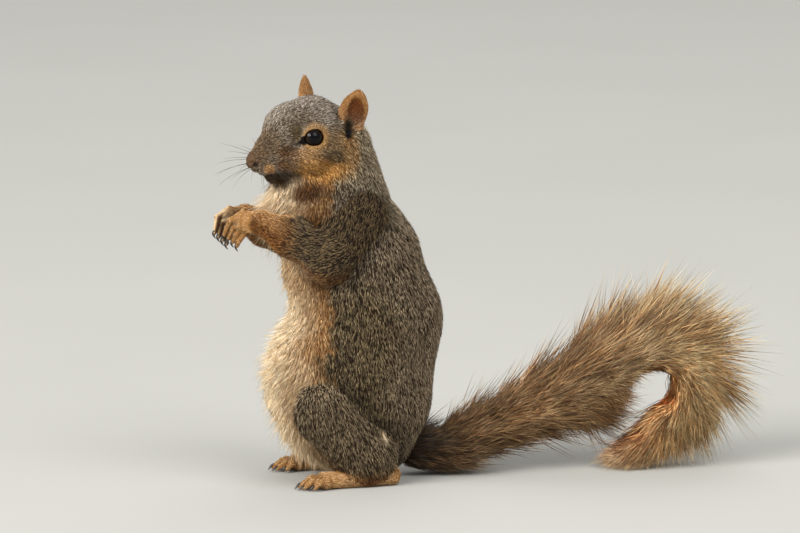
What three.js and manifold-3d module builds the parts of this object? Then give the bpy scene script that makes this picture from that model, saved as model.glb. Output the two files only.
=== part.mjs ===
// An eastern fox squirrel, life size, sitting up on its haunches with its paws held together
// before its chest and its tail trailing along the ground behind it.
//
// Millimetres, +Z up. The squirrel faces -Y, its left side is +X, and it rests on the plane Z = 0.
// Shapes are worked out from a point on the ground under its hips, and the finished group is then
// moved so that its origin is under the middle of its box.
// Each sub-part is a solid out to the tips of its coat, parted from its neighbours by a thin gap.

import * as THREE from 'three';
import { mergeVertices } from 'three/addons/utils/BufferGeometryUtils.js';
import Module from 'manifold-3d';

const wasm = await Module();
wasm.setup();

// Driving dimensions.
const partingGap = 0.4;          // clear space between neighbouring solids
const headPlace = [3, -40, 217]; // midpoint between the eyes
const headTurn = 20;             // degrees, turned towards its own left
const headTilt = 4;              // degrees, its left side lower
const eyeRadius = 6.4;
const eyePlace = [16, -0.4, 0]; // in the head's own frame
const neckCutHeight = 186;
const kneeX = 34;                // sideways distance from the middle to each knee
const ankleX = 29;
const footLength = 62;
const shoulderX = 20.5;
const elbowX = 33;
const wristX = 15;
const palmX = 9.5;
const farHandLead = 4;           // how much further forward the right hand is held
const clawLength = 5;
const tailHalfThickness = 19;    // of the brush, across its flat side

const side = { left: 1, right: -1 };

// Forms: tapered round limbs, squeezed across X by a share.
// A form runs from one point to another, with a radius at each end.
function form(from, to, fromRadius, toRadius, width = 1, height = 1) {
  return { from, to, fromRadius, toRadius, width, height };
}

function distanceToForm(point, piece) {
  const along = [0, 1, 2].map((axis) => piece.to[axis] - piece.from[axis]);
  const away = [0, 1, 2].map((axis) => point[axis] - piece.from[axis]);
  const lengthSquared = along.reduce((sum, value) => sum + value * value, 0);
  const dot = along.reduce((sum, value, axis) => sum + value * away[axis], 0);
  const share = lengthSquared > 0 ? THREE.MathUtils.clamp(dot / lengthSquared, 0, 1) : 0;
  const radius = THREE.MathUtils.lerp(piece.fromRadius, piece.toRadius, share);
  const halves = [radius * piece.width, radius, radius * piece.height];
  const offset = away.map((value, axis) => value - along[axis] * share);
  const near = Math.hypot(...offset.map((value, axis) => value / halves[axis]));
  const slope = Math.hypot(...offset.map((value, axis) => value / halves[axis] ** 2));
  return slope > 0 ? (near * (near - 1)) / slope : -radius;
}

// The forms of a sub-part flow into one another over the given width.
function distanceToForms(point, forms, blend) {
  let distance = Infinity;
  for (const piece of forms) {
    const next = distanceToForm(point, piece);
    const overlap = Number.isFinite(distance) ? Math.max(blend - Math.abs(distance - next), 0) / blend : 0;
    distance = Math.min(distance, next) - overlap * overlap * blend * 0.25;
  }
  return distance;
}

// Solids.
function solidOf(geometry) {
  const bare = geometry.clone();
  bare.deleteAttribute('normal');
  bare.deleteAttribute('uv');
  const merged = mergeVertices(bare, 1e-4);
  const vertProperties = new Float32Array(merged.attributes.position.array);
  const triVerts = new Uint32Array(merged.index.array);
  return new wasm.Manifold(new wasm.Mesh({ numProp: 3, vertProperties, triVerts }));
}

// A capsule whose points are pushed out from a spine until they meet the surface of the forms.
function flesh(spinePoints, forms, { blend = 6, around = 20, ends = 5, rows = 10, grow = 0 } = {}) {
  const reach = 90; // the furthest that a point may travel
  const spine = new THREE.CatmullRomCurve3(spinePoints.map((point) => new THREE.Vector3(...point)));
  const geometry = new THREE.CapsuleGeometry(1, 1, ends, around, rows);
  const places = geometry.attributes.position;
  const normals = geometry.attributes.normal;
  for (let index = 0; index < places.count; index += 1) {
    const share = THREE.MathUtils.clamp(places.getY(index) + 0.5, 0, 1);
    const start = spine.getPoint(share);
    const tangent = spine.getTangent(share);
    const across = new THREE.Vector3(1, 0, 0).addScaledVector(tangent, -tangent.x).normalize();
    const turn = new THREE.Matrix4().makeBasis(across, tangent, across.clone().cross(tangent));
    const ray = new THREE.Vector3(normals.getX(index), normals.getY(index), normals.getZ(index));
    ray.transformDirection(turn);
    let travelled = 0;
    for (let step = 0; step < 60; step += 1) {
      const point = [start.x + ray.x * travelled, start.y + ray.y * travelled, start.z + ray.z * travelled];
      const left = grow - distanceToForms(point, forms, blend);
      travelled = Math.min(travelled + left * 0.8, reach);
    }
    start.addScaledVector(ray, travelled);
    places.setXYZ(index, start.x, start.y, start.z);
  }
  return solidOf(geometry);
}

// A block that fills one side of a plane, for cutting.
function halfSpace(point, direction) {
  const size = 600;
  const geometry = new THREE.BoxGeometry(size, size, size);
  geometry.translate(0, 0, size / 2);
  const facing = new THREE.Vector3(...direction).normalize();
  geometry.applyQuaternion(new THREE.Quaternion().setFromUnitVectors(new THREE.Vector3(0, 0, 1), facing));
  geometry.translate(...point);
  return solidOf(geometry);
}

const belowFloor = halfSpace([0, 0, 0], [0, 0, -1]);

// Turns a point of the head's own frame into the body's frame.
const headTurning = new THREE.Matrix4()
  .makeRotationZ(THREE.MathUtils.degToRad(headTurn))
  .multiply(new THREE.Matrix4().makeRotationY(THREE.MathUtils.degToRad(headTilt)))
  .setPosition(...headPlace);

function placedOnHead(solid) {
  return solid.transform(headTurning.elements);
}

// Head, in its own frame: nose towards -Y, eyes level with Z = 0.
const headForms = [
  form([0, 10, 1], [0, 19, -1], 20.5, 19, 0.98),             // cranium
  form([0, -4, 2.5], [0, 8, 1.5], 17.5, 20, 0.98),           // forehead
  form([0, -10, 0], [0, -21, -8.5], 14.4, 9.8, 0.95),        // bridge of the nose
  form([0, -21, -10.5], [0, -29.5, -15.5], 9.4, 6, 1),        // snout
  form([8, -9, -16], [4, -25, -19], 8.2, 5),                 // lip pads
  form([-8, -9, -16], [-4, -25, -19], 8.2, 5),
  form([0, -3, -20], [0, -17, -25], 10.5, 5.6, 1.1),         // jaw
  form([13, 3, -12], [12, 17, -11], 12.5, 13.5, 0.95, 1.05), // cheeks
  form([-13, 3, -12], [-12, 17, -11], 12.5, 13.5, 0.95, 1.05),
];
const headSpine = [[0, -24, -14], [0, -11, -9], [0, 4, -5], [0, 16, -4]];
const headShape = { blend: 6, around: 18, ends: 4, rows: 7 };

function headSolid(grow) {
  return placedOnHead(flesh(headSpine, headForms, { ...headShape, grow }));
}

// Ears: upright leaves, hollowed on the side that faces out and forward.
const earPlace = { left: [18.5, 27, 3.5], right: [15.5, 18.5, 5] }; // in the head's own frame
const earLean = 12;              // degrees, away from the middle
const earFacing = 35;            // degrees, from straight sideways towards the front
const earForms = [
  form([0, 0, 0], [0, 0.6, 11], 7.2, 8.6, 0.42),
  form([0, 0.6, 11], [0, 2, 16.5], 8.6, 7.6, 0.42),
  form([0, 2, 16.5], [0, 3.4, 21.8], 7.6, 4.6, 0.42),
];
const earHollow = [form([3.6, -0.6, 2], [3.4, 1.6, 17], 6, 3.2, 0.5)];

function earSolid(name) {
  const sign = side[name];
  const leafShape = { blend: 3, around: 12, ends: 2, rows: 5 };
  const leaf = flesh([[0, 0, 0], [0, 0.8, 12], [0, 3.4, 21.8]], earForms, leafShape);
  const hollowShape = { blend: 2, around: 8, ends: 2, rows: 2 };
  const hollow = flesh([earHollow[0].from, earHollow[0].to], earHollow, hollowShape);
  const turning = new THREE.Matrix4()
    .makeRotationZ(THREE.MathUtils.degToRad(-earFacing))
    .multiply(new THREE.Matrix4().makeRotationY(THREE.MathUtils.degToRad(earLean)));
  const [across, back, up] = earPlace[name];
  turning.setPosition(across, back, up);
  const ear = leaf.subtract(hollow).transform(turning.elements);
  return placedOnHead(sign > 0 ? ear : ear.mirror([1, 0, 0]));
}

// Eyes.
function eyeSolid(name, grow) {
  const geometry = new THREE.SphereGeometry(eyeRadius + grow, 12, 8);
  geometry.translate(eyePlace[0] * side[name], eyePlace[1], eyePlace[2]);
  return placedOnHead(solidOf(geometry));
}

// Neck and trunk.
const trunkForms = [
  form([0, -13, 208], [0, -12.5, 190], 20, 23, 0.95),   // neck
  form([0, -13.5, 190], [0, -15, 168], 24.5, 33, 0.88), // shoulders
  form([0, -38, 183], [0, -41, 168], 18, 18, 1.15),     // ruff of the chest
  form([0, -15, 166], [0, -7, 138], 35, 42, 0.84),      // chest
  form([0, -3, 134], [0, 6, 100], 41.5, 45, 0.86),      // back and flanks
  form([0, 3, 96], [0, -4, 60], 47, 51, 0.82),          // belly
  form([0, -8, 66], [0, -6.5, 48], 49, 43, 0.8),        // lower belly
  form([0, 5, 42], [0, 4, 29.5], 35, 31, 1.05),         // rump
];
const trunkSpine = [[0, -16, 202], [0, -14, 172], [0, -5, 138], [0, 2, 104], [0, 0, 66], [0, 2, 34]];

function trunkSolid(grow) {
  return flesh(trunkSpine, trunkForms, { blend: 10, around: 18, ends: 3, rows: 11, grow });
}

// Forelegs.
function foreLeg(name) {
  const sign = side[name];
  const lead = name === 'right' ? -farHandLead : 0;
  const shoulder = [shoulderX * sign, -6, 167];
  const elbow = [elbowX * sign, -28, 143];
  const wrist = [wristX * sign, -65 + lead, 163.5];
  const knuckles = [palmX * sign, -76 + lead, 168];
  return { sign, shoulder, elbow, wrist, knuckles };
}

// The plane that halves the bend at a middle point, facing the first of its two neighbours.
function bendFacing(middle, first, second) {
  const towardFirst = new THREE.Vector3(...first).sub(new THREE.Vector3(...middle)).normalize();
  const towardSecond = new THREE.Vector3(...second).sub(new THREE.Vector3(...middle)).normalize();
  return towardFirst.sub(towardSecond).normalize().toArray();
}

function upperArmSolid(name, grow) {
  const { shoulder, elbow } = foreLeg(name);
  const forms = [form(shoulder, elbow, 17, 15, 0.78)];
  return flesh([shoulder, elbow], forms, { around: 14, ends: 3, rows: 3, grow });
}

function forearmSolid(name, grow) {
  const { sign, elbow, wrist } = foreLeg(name);
  const middle = [24 * sign, wrist[1] + 15, wrist[2] - 8];
  const forms = [form(elbow, middle, 15, 12, 0.78), form(middle, wrist, 12, 8.4, 0.85)];
  return flesh([elbow, middle, wrist], forms, { around: 14, ends: 3, rows: 6, grow });
}

// Each finger bends at its middle joint, and ends in a claw.
const fingers = 4;

function fingerPoints({ sign, knuckles }, index) {
  const [across, ahead, up] = knuckles;
  return {
    root: [across - 0.4 * index * sign, ahead + 0.8 * index, up - 3.4 * index + 1],
    joint: [across - (1 + 0.3 * index) * sign, ahead - 8 + 1.8 * index, up - 3.4 * index - 4],
    end: [across - (5 - 0.3 * index) * sign, ahead - 11 + 2.6 * index, up - 1.9 * index - 12.5],
  };
}

function addDigit(body, root, joint, end, clawEnd, radius, grow) {
  const lengths = [
    form(root, joint, radius, radius * 0.9),
    form(joint, end, radius * 0.9, radius * 0.72),
    form(end, clawEnd, 1.1, 0.5),
  ];
  let whole = body;
  for (const length of lengths) {
    whole = whole.add(flesh([length.from, length.to], [length], { around: 5, ends: 1, rows: 1, grow }));
  }
  return whole;
}

function handSolid(name, grow) {
  const leg = foreLeg(name);
  const { sign, wrist, knuckles } = leg;
  const palmEnd = [knuckles[0], knuckles[1], knuckles[2] - 4];
  const palmForms = [form(wrist, palmEnd, 7.6, 7.4, 0.6)];
  let hand = flesh([wrist, palmEnd], palmForms, { around: 10, ends: 2, rows: 2, grow });
  for (let index = 0; index < fingers; index += 1) {
    const { root, joint, end } = fingerPoints(leg, index);
    const clawEnd = [end[0] - 0.6 * sign, end[1] + 0.8, end[2] - clawLength];
    hand = addDigit(hand, root, joint, end, clawEnd, 2.9, grow);
  }
  return hand;
}

// Hind legs: thigh and shank folded together, over a long flat foot.
function hindLeg(name) {
  const sign = side[name];
  return {
    sign,
    knee: [kneeX * sign, -33, 48],
    hock: [ankleX * sign, -4, 20],
    heel: [ankleX * sign, 12, 5.8],
    ball: [(ankleX + 5) * sign, 30 - footLength, 4.9],
  };
}

const foldFacing = [0, -0.6, -0.8]; // from the thigh towards the shank

function foldedLegSolid(name, grow) {
  const { knee, hock } = hindLeg(name);
  return flesh([knee, hock], [form(knee, hock, 20, 21.5, 0.72)], { around: 14, ends: 3, rows: 2, grow });
}

const toeSpread = [
  { across: -7, length: 8 },
  { across: -3.5, length: 13 },
  { across: 0.2, length: 14.5 },
  { across: 3.9, length: 13 },
  { across: 7.4, length: 7.5 },
];

function footSolid(name, grow) {
  const { sign, heel, ball } = hindLeg(name);
  const web = [ball[0], ball[1] - 4.2, 4.6];
  const soleForms = [form(heel, ball, 6.8, 6, 1.2), form(ball, web, 6, 3.6, 1.6)];
  let foot = flesh([heel, ball, web], soleForms, { around: 10, ends: 2, rows: 3, grow });
  for (const { across, length } of toeSpread) {
    const root = [ball[0] + across * 0.85 * sign, ball[1] - 1, 5];
    const joint = [ball[0] + across * 1.1 * sign, ball[1] - length * 0.6, 5.6];
    const end = [ball[0] + across * 1.2 * sign, ball[1] - length, 2.6];
    const clawEnd = [end[0] + across * 0.04 * sign, end[1] - clawLength, 1];
    foot = addDigit(foot, root, joint, end, clawEnd, 3.1, grow);
  }
  return foot;
}

// Tail: a flat brush round a bent axis, wide on its outer side.
// Along the tail: place of the bone, and how far the hair reaches to the outer and inner side.
const tailStations = [
  { place: [0, 24, 17], outer: 14, inner: 17.2, thick: 0.8 },
  { place: [0, 38, 16], outer: 15.5, inner: 17, thick: 0.85 },
  { place: [0, 52, 16], outer: 17, inner: 16.2, thick: 0.9 },
  { place: [0, 71, 22], outer: 20, inner: 16, thick: 0.92 },
  { place: [0, 93, 30.5], outer: 24, inner: 20, thick: 0.95 },
  { place: [0, 115, 39], outer: 28, inner: 25, thick: 1 },
  { place: [0, 135, 47], outer: 37, inner: 28, thick: 1.05 },
  { place: [0, 154, 55], outer: 49, inner: 26, thick: 1.1 },
  { place: [1, 168, 61], outer: 56, inner: 15, thick: 1.1 },
  { place: [2, 182, 65.5], outer: 57, inner: 8, thick: 1.1 },
  { place: [3, 194, 66.5], outer: 55, inner: 6.5, thick: 1.1 },
  { place: [4, 203, 62.5], outer: 54, inner: 6.5, thick: 1.1 },
  { place: [5, 206.5, 54], outer: 46, inner: 6.5, thick: 1.1 },
  { place: [6, 205, 45], outer: 36, inner: 7, thick: 1.05 },
  { place: [7, 200, 35.5], outer: 31, inner: 7.5, thick: 1 },
  { place: [8, 192.5, 26.5], outer: 25, inner: 8, thick: 0.9 },
  { place: [9, 184, 18.5], outer: 19, inner: 8, thick: 0.75 },
  { place: [10, 176, 12], outer: 15.5, inner: 6.5, thick: 0.55 },
  { place: [10.5, 168, 8.5], outer: 12.5, inner: 4.5, thick: 0.4 },
];
const tailParting = [0, 0.2, 0.4, 0.57, 0.74, 1]; // shares of the tail's bone where its lengths meet
const tailRows = 5;
const tailAround = 14;
const tipRounding = 0.05;        // share of the bone over which the tip rounds off

const tailBone = new THREE.CatmullRomCurve3(tailStations.map(({ place }) => new THREE.Vector3(...place)));

function tailReach(share, key) {
  const scaled = share * (tailStations.length - 1);
  const first = Math.min(Math.floor(scaled), tailStations.length - 2);
  return THREE.MathUtils.lerp(tailStations[first][key], tailStations[first + 1][key], scaled - first);
}

function tailFrame(share) {
  const point = tailBone.getPoint(share);
  const along = tailBone.getTangent(share);
  const outward = new THREE.Vector3(0, -along.z, along.y).normalize();
  return { point, along, outward };
}

function tipTaper(share) {
  const pastStart = Math.max(share - (1 - tipRounding), 0) / tipRounding;
  return Math.sqrt(Math.max(1 - pastStart * pastStart, 0.05));
}

// One length of the brush, flat across the bone at both of its ends.
function tailLength(fromShare, toShare) {
  const geometry = new THREE.CylinderGeometry(1, 1, 1, tailAround, tailRows);
  const places = geometry.attributes.position;
  for (let index = 0; index < places.count; index += 1) {
    const share = THREE.MathUtils.lerp(fromShare, toShare, places.getY(index) + 0.5);
    const { point, outward } = tailFrame(share);
    const across = places.getZ(index);
    const reach = tailReach(share, across > 0 ? 'outer' : 'inner') * tipTaper(share);
    const thickness = tailHalfThickness * tailReach(share, 'thick') * tipTaper(share);
    point.addScaledVector(outward, across * reach);
    places.setXYZ(index, point.x + places.getX(index) * thickness, point.y, point.z);
  }
  return solidOf(geometry).subtract(belowFloor);
}

// The whole squirrel.
const coats = {
  grey: { color: '#5f5240', roughness: 0.9 },
  crown: { color: '#85776a', roughness: 0.9 },
  buff: { color: '#96714a', roughness: 0.9 },
  rust: { color: '#8a5a2e', roughness: 0.9 },
  brush: { color: '#6e553a', roughness: 0.95 },
  eye: { color: '#0b0908', roughness: 0.05 },
};

const squirrel = new THREE.Group();

function addPart(name, solid, coat) {
  const mesh = solid.getMesh();
  const geometry = new THREE.BufferGeometry();
  geometry.setAttribute('position', new THREE.BufferAttribute(new Float32Array(mesh.vertProperties), 3));
  geometry.setIndex(new THREE.BufferAttribute(new Uint32Array(mesh.triVerts), 1));
  geometry.computeVertexNormals();
  const part = new THREE.Mesh(geometry, new THREE.MeshStandardMaterial({ ...coats[coat], metalness: 0 }));
  part.name = name;
  squirrel.add(part);
}

const grownTrunk = trunkSolid(partingGap);
const grownHead = headSolid(partingGap);
let head = headSolid(0);
let body = trunkSolid(0).subtract(grownHead).subtract(belowFloor);

for (const name of Object.keys(side)) {
  const { shoulder, elbow, wrist, knuckles } = foreLeg(name);
  const grownArm = upperArmSolid(name, partingGap);
  const grownForearm = forearmSolid(name, partingGap);
  const grownLeg = foldedLegSolid(name, partingGap);
  const grownFoot = footSolid(name, partingGap);
  body = body.subtract(grownArm).subtract(grownForearm).subtract(grownLeg).subtract(grownFoot);
  head = head.subtract(eyeSolid(name, partingGap));

  addPart(`eye_${name}`, eyeSolid(name, 0), 'eye');
  addPart(`ear_${name}`, earSolid(name).subtract(grownHead).subtract(grownTrunk), 'rust');

  const elbowFacing = bendFacing(elbow, shoulder, wrist);
  const armJoin = elbow.map((value, axis) => value + elbowFacing[axis] * partingGap);
  const upperArm = upperArmSolid(name, 0).subtract(halfSpace(armJoin, elbowFacing.map((value) => -value)));
  addPart(`upper_arm_${name}`, upperArm.subtract(grownHead), 'grey');

  const wristFacing = bendFacing(wrist, knuckles, elbow);
  const handJoin = wrist.map((value, axis) => value + wristFacing[axis] * partingGap);
  const belowElbow = forearmSolid(name, 0).subtract(halfSpace(elbow, elbowFacing));
  addPart(`forearm_${name}`, belowElbow.subtract(halfSpace(wrist, wristFacing)), 'buff');
  const hand = handSolid(name, 0).subtract(halfSpace(handJoin, wristFacing.map((value) => -value)));
  addPart(`hand_${name}`, hand, 'buff');

  const { knee, hock } = hindLeg(name);
  const fold = knee.map((value, axis) => (value + hock[axis]) / 2);
  const foldGap = fold.map((value, axis) => value + foldFacing[axis] * partingGap);
  const foldedLeg = foldedLegSolid(name, 0).subtract(grownFoot).subtract(belowFloor);
  addPart(`thigh_${name}`, foldedLeg.subtract(halfSpace(fold, foldFacing)), 'grey');
  addPart(`shank_${name}`, foldedLeg.subtract(halfSpace(foldGap, foldFacing.map((value) => -value))), 'buff');
  addPart(`foot_${name}`, footSolid(name, 0).subtract(belowFloor), 'buff');
}

addPart('head', head, 'crown');
addPart('neck', body.subtract(halfSpace([0, 0, neckCutHeight], [0, 0, -1])), 'grey');
addPart('trunk', body.subtract(halfSpace([0, 0, neckCutHeight - partingGap], [0, 0, 1])), 'grey');
const gapShare = partingGap / tailBone.getLength();
for (let index = 1; index < tailParting.length; index += 1) {
  const length = tailLength(tailParting[index - 1] + gapShare, tailParting[index]);
  addPart(`tail_${index}`, index === 1 ? length.subtract(grownTrunk) : length, 'brush');
}

const box = new THREE.Box3().setFromObject(squirrel);
const middle = box.getCenter(new THREE.Vector3());
squirrel.position.set(-middle.x, -middle.y, 0);

export default squirrel;
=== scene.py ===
# An eastern fox squirrel, life size, sitting up on its haunches with its tail curled along the ground
import math
import bpy
import numpy as np
import openvdb
from mathutils import Matrix, Vector


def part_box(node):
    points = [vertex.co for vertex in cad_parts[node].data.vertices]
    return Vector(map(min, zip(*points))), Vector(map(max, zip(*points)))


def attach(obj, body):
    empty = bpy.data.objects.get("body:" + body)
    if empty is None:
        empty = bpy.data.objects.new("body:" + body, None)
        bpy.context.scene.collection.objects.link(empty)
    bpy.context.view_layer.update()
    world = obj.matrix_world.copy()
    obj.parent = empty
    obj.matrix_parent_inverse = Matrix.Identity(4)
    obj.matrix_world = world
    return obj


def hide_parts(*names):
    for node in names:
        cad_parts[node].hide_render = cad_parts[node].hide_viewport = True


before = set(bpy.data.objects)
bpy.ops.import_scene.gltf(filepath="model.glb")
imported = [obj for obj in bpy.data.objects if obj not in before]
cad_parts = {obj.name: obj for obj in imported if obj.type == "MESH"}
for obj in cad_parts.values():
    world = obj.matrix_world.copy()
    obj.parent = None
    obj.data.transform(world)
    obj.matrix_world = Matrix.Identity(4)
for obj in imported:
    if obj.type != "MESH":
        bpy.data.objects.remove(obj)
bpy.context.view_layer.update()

# Shapes are worked out in millimetres from a point on the ground under the hips, facing -Y
millimetre = 0.001
sides = {"left": 1, "right": -1}
headPlace = np.array([3.0, -40.0, 217.0])  # midpoint between the eyes
headTurn = 20   # degrees, towards its own left
headTilt = 4    # degrees, its left side lower
eyeRadius = 6.4
eyePlace = (16, -0.4, 0)   # of the left one, in the head's frame


def boxMiddle(node):
    low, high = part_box(node)
    return (np.array(low) + np.array(high)) / 2


def turning(place, *turns):
    whole = Matrix.Translation(Vector(place))
    for angle, axis in turns:
        whole = whole @ Matrix.Rotation(math.radians(angle), 4, axis)
    return np.array(whole)


headFrame = turning(headPlace, (headTurn, "Z"), (headTilt, "Y"))
bodyFrame = np.eye(4)


def moved(transform, points):
    points = np.asarray(points, float)
    return points @ transform[:3, :3].T + transform[:3, 3]


def turned(transform, directions):
    return np.asarray(directions, float) @ transform[:3, :3].T


def unit(vectors):
    return vectors / np.maximum(np.linalg.norm(vectors, axis=-1, keepdims=True), 1e-9)


eyeMiddle = (boxMiddle("eye_left") + boxMiddle("eye_right")) / 2 / millimetre
groundPlace = eyeMiddle - moved(headFrame, [0, eyePlace[1], eyePlace[2]])
groundPlace[2] = 0


def toFrame(points):
    return (np.asarray(points, float) + groundPlace) * millimetre


# Colours and nodes
def linear(hexColour):
    channels = []
    for index in (1, 3, 5):
        value = int(hexColour[index:index + 2], 16) / 255
        channels.append(value / 12.92 if value <= 0.04045 else ((value + 0.055) / 1.055) ** 2.4)
    return tuple(channels)


def rgba(hexColour):
    return (*linear(hexColour), 1)


def addNode(tree, kind, settings=None, links=None):
    node = tree.nodes.new(kind)
    for name, value in (settings or {}).items():
        if name == "stops":
            elements = node.color_ramp.elements
            for index, (place, colour) in enumerate(value):
                element = elements[index] if index < 2 else elements.new(place)
                element.position, element.color = place, colour
        elif isinstance(name, str) and hasattr(node, name) and name not in node.inputs:
            setattr(node, name, value)
        else:
            node.inputs[name].default_value = value
    for name, source in (links or {}).items():
        tree.links.new(source, node.inputs[name])
    return node


def newMaterial(name):
    material = bpy.data.materials.new(name)
    material.use_nodes = True
    material.node_tree.nodes.clear()
    return material, material.node_tree


# Camera, floor and light
camera = {
    "azimuth": 75,         # degrees round from straight ahead of its body towards its left side
    "elevation": 8.5,
    "lens": 300,
    "frameWidth": 496,     # millimetres across the view at the squirrel
    "lookAt": (-12.2, 28.9, 129.1),
}


def aim(name, data, azimuth, elevation, away):
    # a camera or a lamp that faces the squirrel
    azimuth, elevation = math.radians(azimuth), math.radians(elevation)
    outward = Vector((math.sin(azimuth) * math.cos(elevation),
                      -math.cos(azimuth) * math.cos(elevation), math.sin(elevation)))
    holder = bpy.data.objects.new(name, data)
    holder.location = Vector(toFrame(camera["lookAt"])) + outward * away
    holder.rotation_euler = outward.to_track_quat("Z", "Y").to_euler()
    bpy.context.scene.collection.objects.link(holder)
    return holder


def placeCamera():
    data = bpy.data.cameras.new("camera")
    data.lens = camera["lens"]
    data.clip_end = 100
    away = camera["frameWidth"] * camera["lens"] / data.sensor_width * millimetre
    bpy.context.scene.camera = aim("camera", data, camera["azimuth"], camera["elevation"], away)


studio = {
    "floor": ("#b4b2ab", "#bab8b1"),
    "floorHalf": 9,   # metres from the middle to the edge
    "sky": "#eef1f4",
    "skyStrength": 0.56,
    # name: azimuth, elevation, distance, size in metres, watts
    "lamps": {
        "key": (26, 31, 5.6, 2.7, 306),
        "fill": (112, 42, 4.2, 3.0, 106),
        "back": (245, 48, 4.2, 3.0, 47),
        "sparkle": (48, 27, 4.4, 0.4, 34),
    },
}


def paintFloor():
    material, tree = newMaterial("matt painted board")   # soft pale sweep, no shine
    place = addNode(tree, "ShaderNodeTexCoord")
    mottle = addNode(tree, "ShaderNodeTexNoise", {"Scale": 1 / (330 * millimetre), "Detail": 3},
                     {"Vector": place.outputs["Object"]})
    first, second = studio["floor"]
    tone = addNode(tree, "ShaderNodeMix", {"data_type": "RGBA", 6: rgba(first), 7: rgba(second)},
                   {"Factor": mottle.outputs["Fac"]})
    surface = addNode(tree, "ShaderNodeBsdfPrincipled", {"Roughness": 0.9, "Specular IOR Level": 0.2},
                      {"Base Color": tone.outputs[2]})
    addNode(tree, "ShaderNodeOutputMaterial", None, {"Surface": surface.outputs[0]})
    return material


def buildStudio():
    half = studio["floorHalf"]
    mesh = bpy.data.meshes.new("floor")
    edge = [(-half, -half, 0), (half, -half, 0), (half, half, 0), (-half, half, 0)]
    mesh.from_pydata(edge, [], [(0, 1, 2, 3)])
    mesh.materials.append(paintFloor())
    floor = bpy.data.objects.new("floor", mesh)
    bpy.context.scene.collection.objects.link(floor)
    for name, (azimuth, elevation, away, size, watts) in studio["lamps"].items():
        lamp = bpy.data.lights.new(name, "AREA")
        lamp.size, lamp.energy = size, watts
        aim(name, lamp, azimuth, elevation, away)
    world = bpy.data.worlds.new("studio")
    world.use_nodes = True
    world.node_tree.nodes.clear()
    sky = addNode(world.node_tree, "ShaderNodeBackground",
                  {"Color": rgba(studio["sky"]), "Strength": studio["skyStrength"]})
    addNode(world.node_tree, "ShaderNodeOutputWorld", None, {"Surface": sky.outputs[0]})
    bpy.context.scene.world = world
    bpy.context.scene.view_settings.view_transform = "Standard"


# Forms are tapered round limbs of flesh, each with its coat's depth and the way its hair lies
def form(start, end, startRadius, endRadius, width=1, height=1, coat=2.6, hair=5.2, lie=None,
         transform=bodyFrame):
    start, end = np.array(start, float), np.array(end, float)
    direction = turned(transform, unit(np.array(lie, float) if lie is not None else end - start))
    return {"start": start, "end": end, "radii": (startRadius, endRadius), "squeeze": (width, 1, height),
            "coat": coat, "hair": hair, "lie": direction, "inverse": np.linalg.inv(transform),
            "ends": moved(transform, [start, end])}


def distanceTo(piece, x, y, z):
    inverse = piece["inverse"]
    if not np.allclose(inverse, bodyFrame):
        x, y, z = (inverse[row, 0] * x + inverse[row, 1] * y + inverse[row, 2] * z + inverse[row, 3]
                   for row in range(3))
    along = piece["end"] - piece["start"]
    away = [value - first for value, first in zip((x, y, z), piece["start"])]
    share = sum(part * way for part, way in zip(away, along)) / max(along @ along, 1e-6)
    share = np.clip(share, 0, 1)
    first, last = piece["radii"]
    radius = first + (last - first) * share
    near, slope = 0, 0
    for part, way, squeeze in zip(away, along, piece["squeeze"]):
        scaled = (part - way * share) / (radius * squeeze)
        near = near + scaled * scaled
        slope = slope + (scaled / (radius * squeeze)) ** 2
    near = np.sqrt(near)
    return near * (near - 1) / np.maximum(np.sqrt(slope), 1e-6)


def softUnion(a, b, blend):
    overlap = np.maximum(blend - np.abs(a - b), 0) / blend
    return np.minimum(a, b) - overlap * overlap * blend * 0.25


def softCut(a, b, blend):
    return -softUnion(-a, b, blend)


def headForm(start, end, startRadius, endRadius, width=1, height=1, **more):
    return form(start, end, startRadius, endRadius, width, height, transform=headFrame, **more)


headForms = [
    headForm((0, 10, 1), (0, 19, -1), 20.5, 19, 0.98, coat=1.6, hair=4, lie=(0, 1, -0.3)),
    headForm((0, -4, 2.5), (0, 8, 1.5), 17.5, 20, 0.98, coat=1.3, hair=3.4, lie=(0, 1, 0.2)),
    headForm((0, -10, 0), (0, -21, -9), 14.2, 9.2, 0.95, coat=1.1, hair=2.8, lie=(0, 1, 0.6)),
    headForm((0, -21, -11), (0, -28.5, -15.5), 8.6, 5.4, 1.1, coat=0.5, hair=2.0, lie=(0, 1, 0.5)),
    headForm((0, -31.2, -14.2), (0, -32.6, -15.6), 4.2, 4.2, 1.05, coat=0.3, hair=1.2, lie=(0, 1, 0.6)),
    headForm((8, -9, -16), (4, -25, -19), 8.2, 5, coat=0.8, hair=2.6, lie=(0.25, 1, -0.1)),
    headForm((-8, -9, -16), (-4, -25, -19), 8.2, 5, coat=0.8, hair=2.6, lie=(-0.25, 1, -0.1)),
    headForm((0, -3, -20), (0, -17, -25), 10.5, 5.6, 1.1, coat=1.1, hair=3.6, lie=(0, 1, -0.1)),
    headForm((13, 3, -12), (12, 17, -11), 12.5, 13.5, 0.95, 1.05, coat=1.8, hair=4.5, lie=(0.1, 1, -0.5)),
    headForm((-13, 3, -12), (-12, 17, -11), 12.5, 13.5, 0.95, 1.05, coat=1.8, hair=4.5, lie=(-0.1, 1, -0.5)),
]

earPlace = {"left": (18.5, 27, 3.5), "right": (15.5, 18.5, 5)}
earFrames = {name: headFrame @ np.diag([sign, 1, 1, 1]) @ turning(earPlace[name], (-35, "Z"), (12, "Y"))
             for name, sign in sides.items()}


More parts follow.
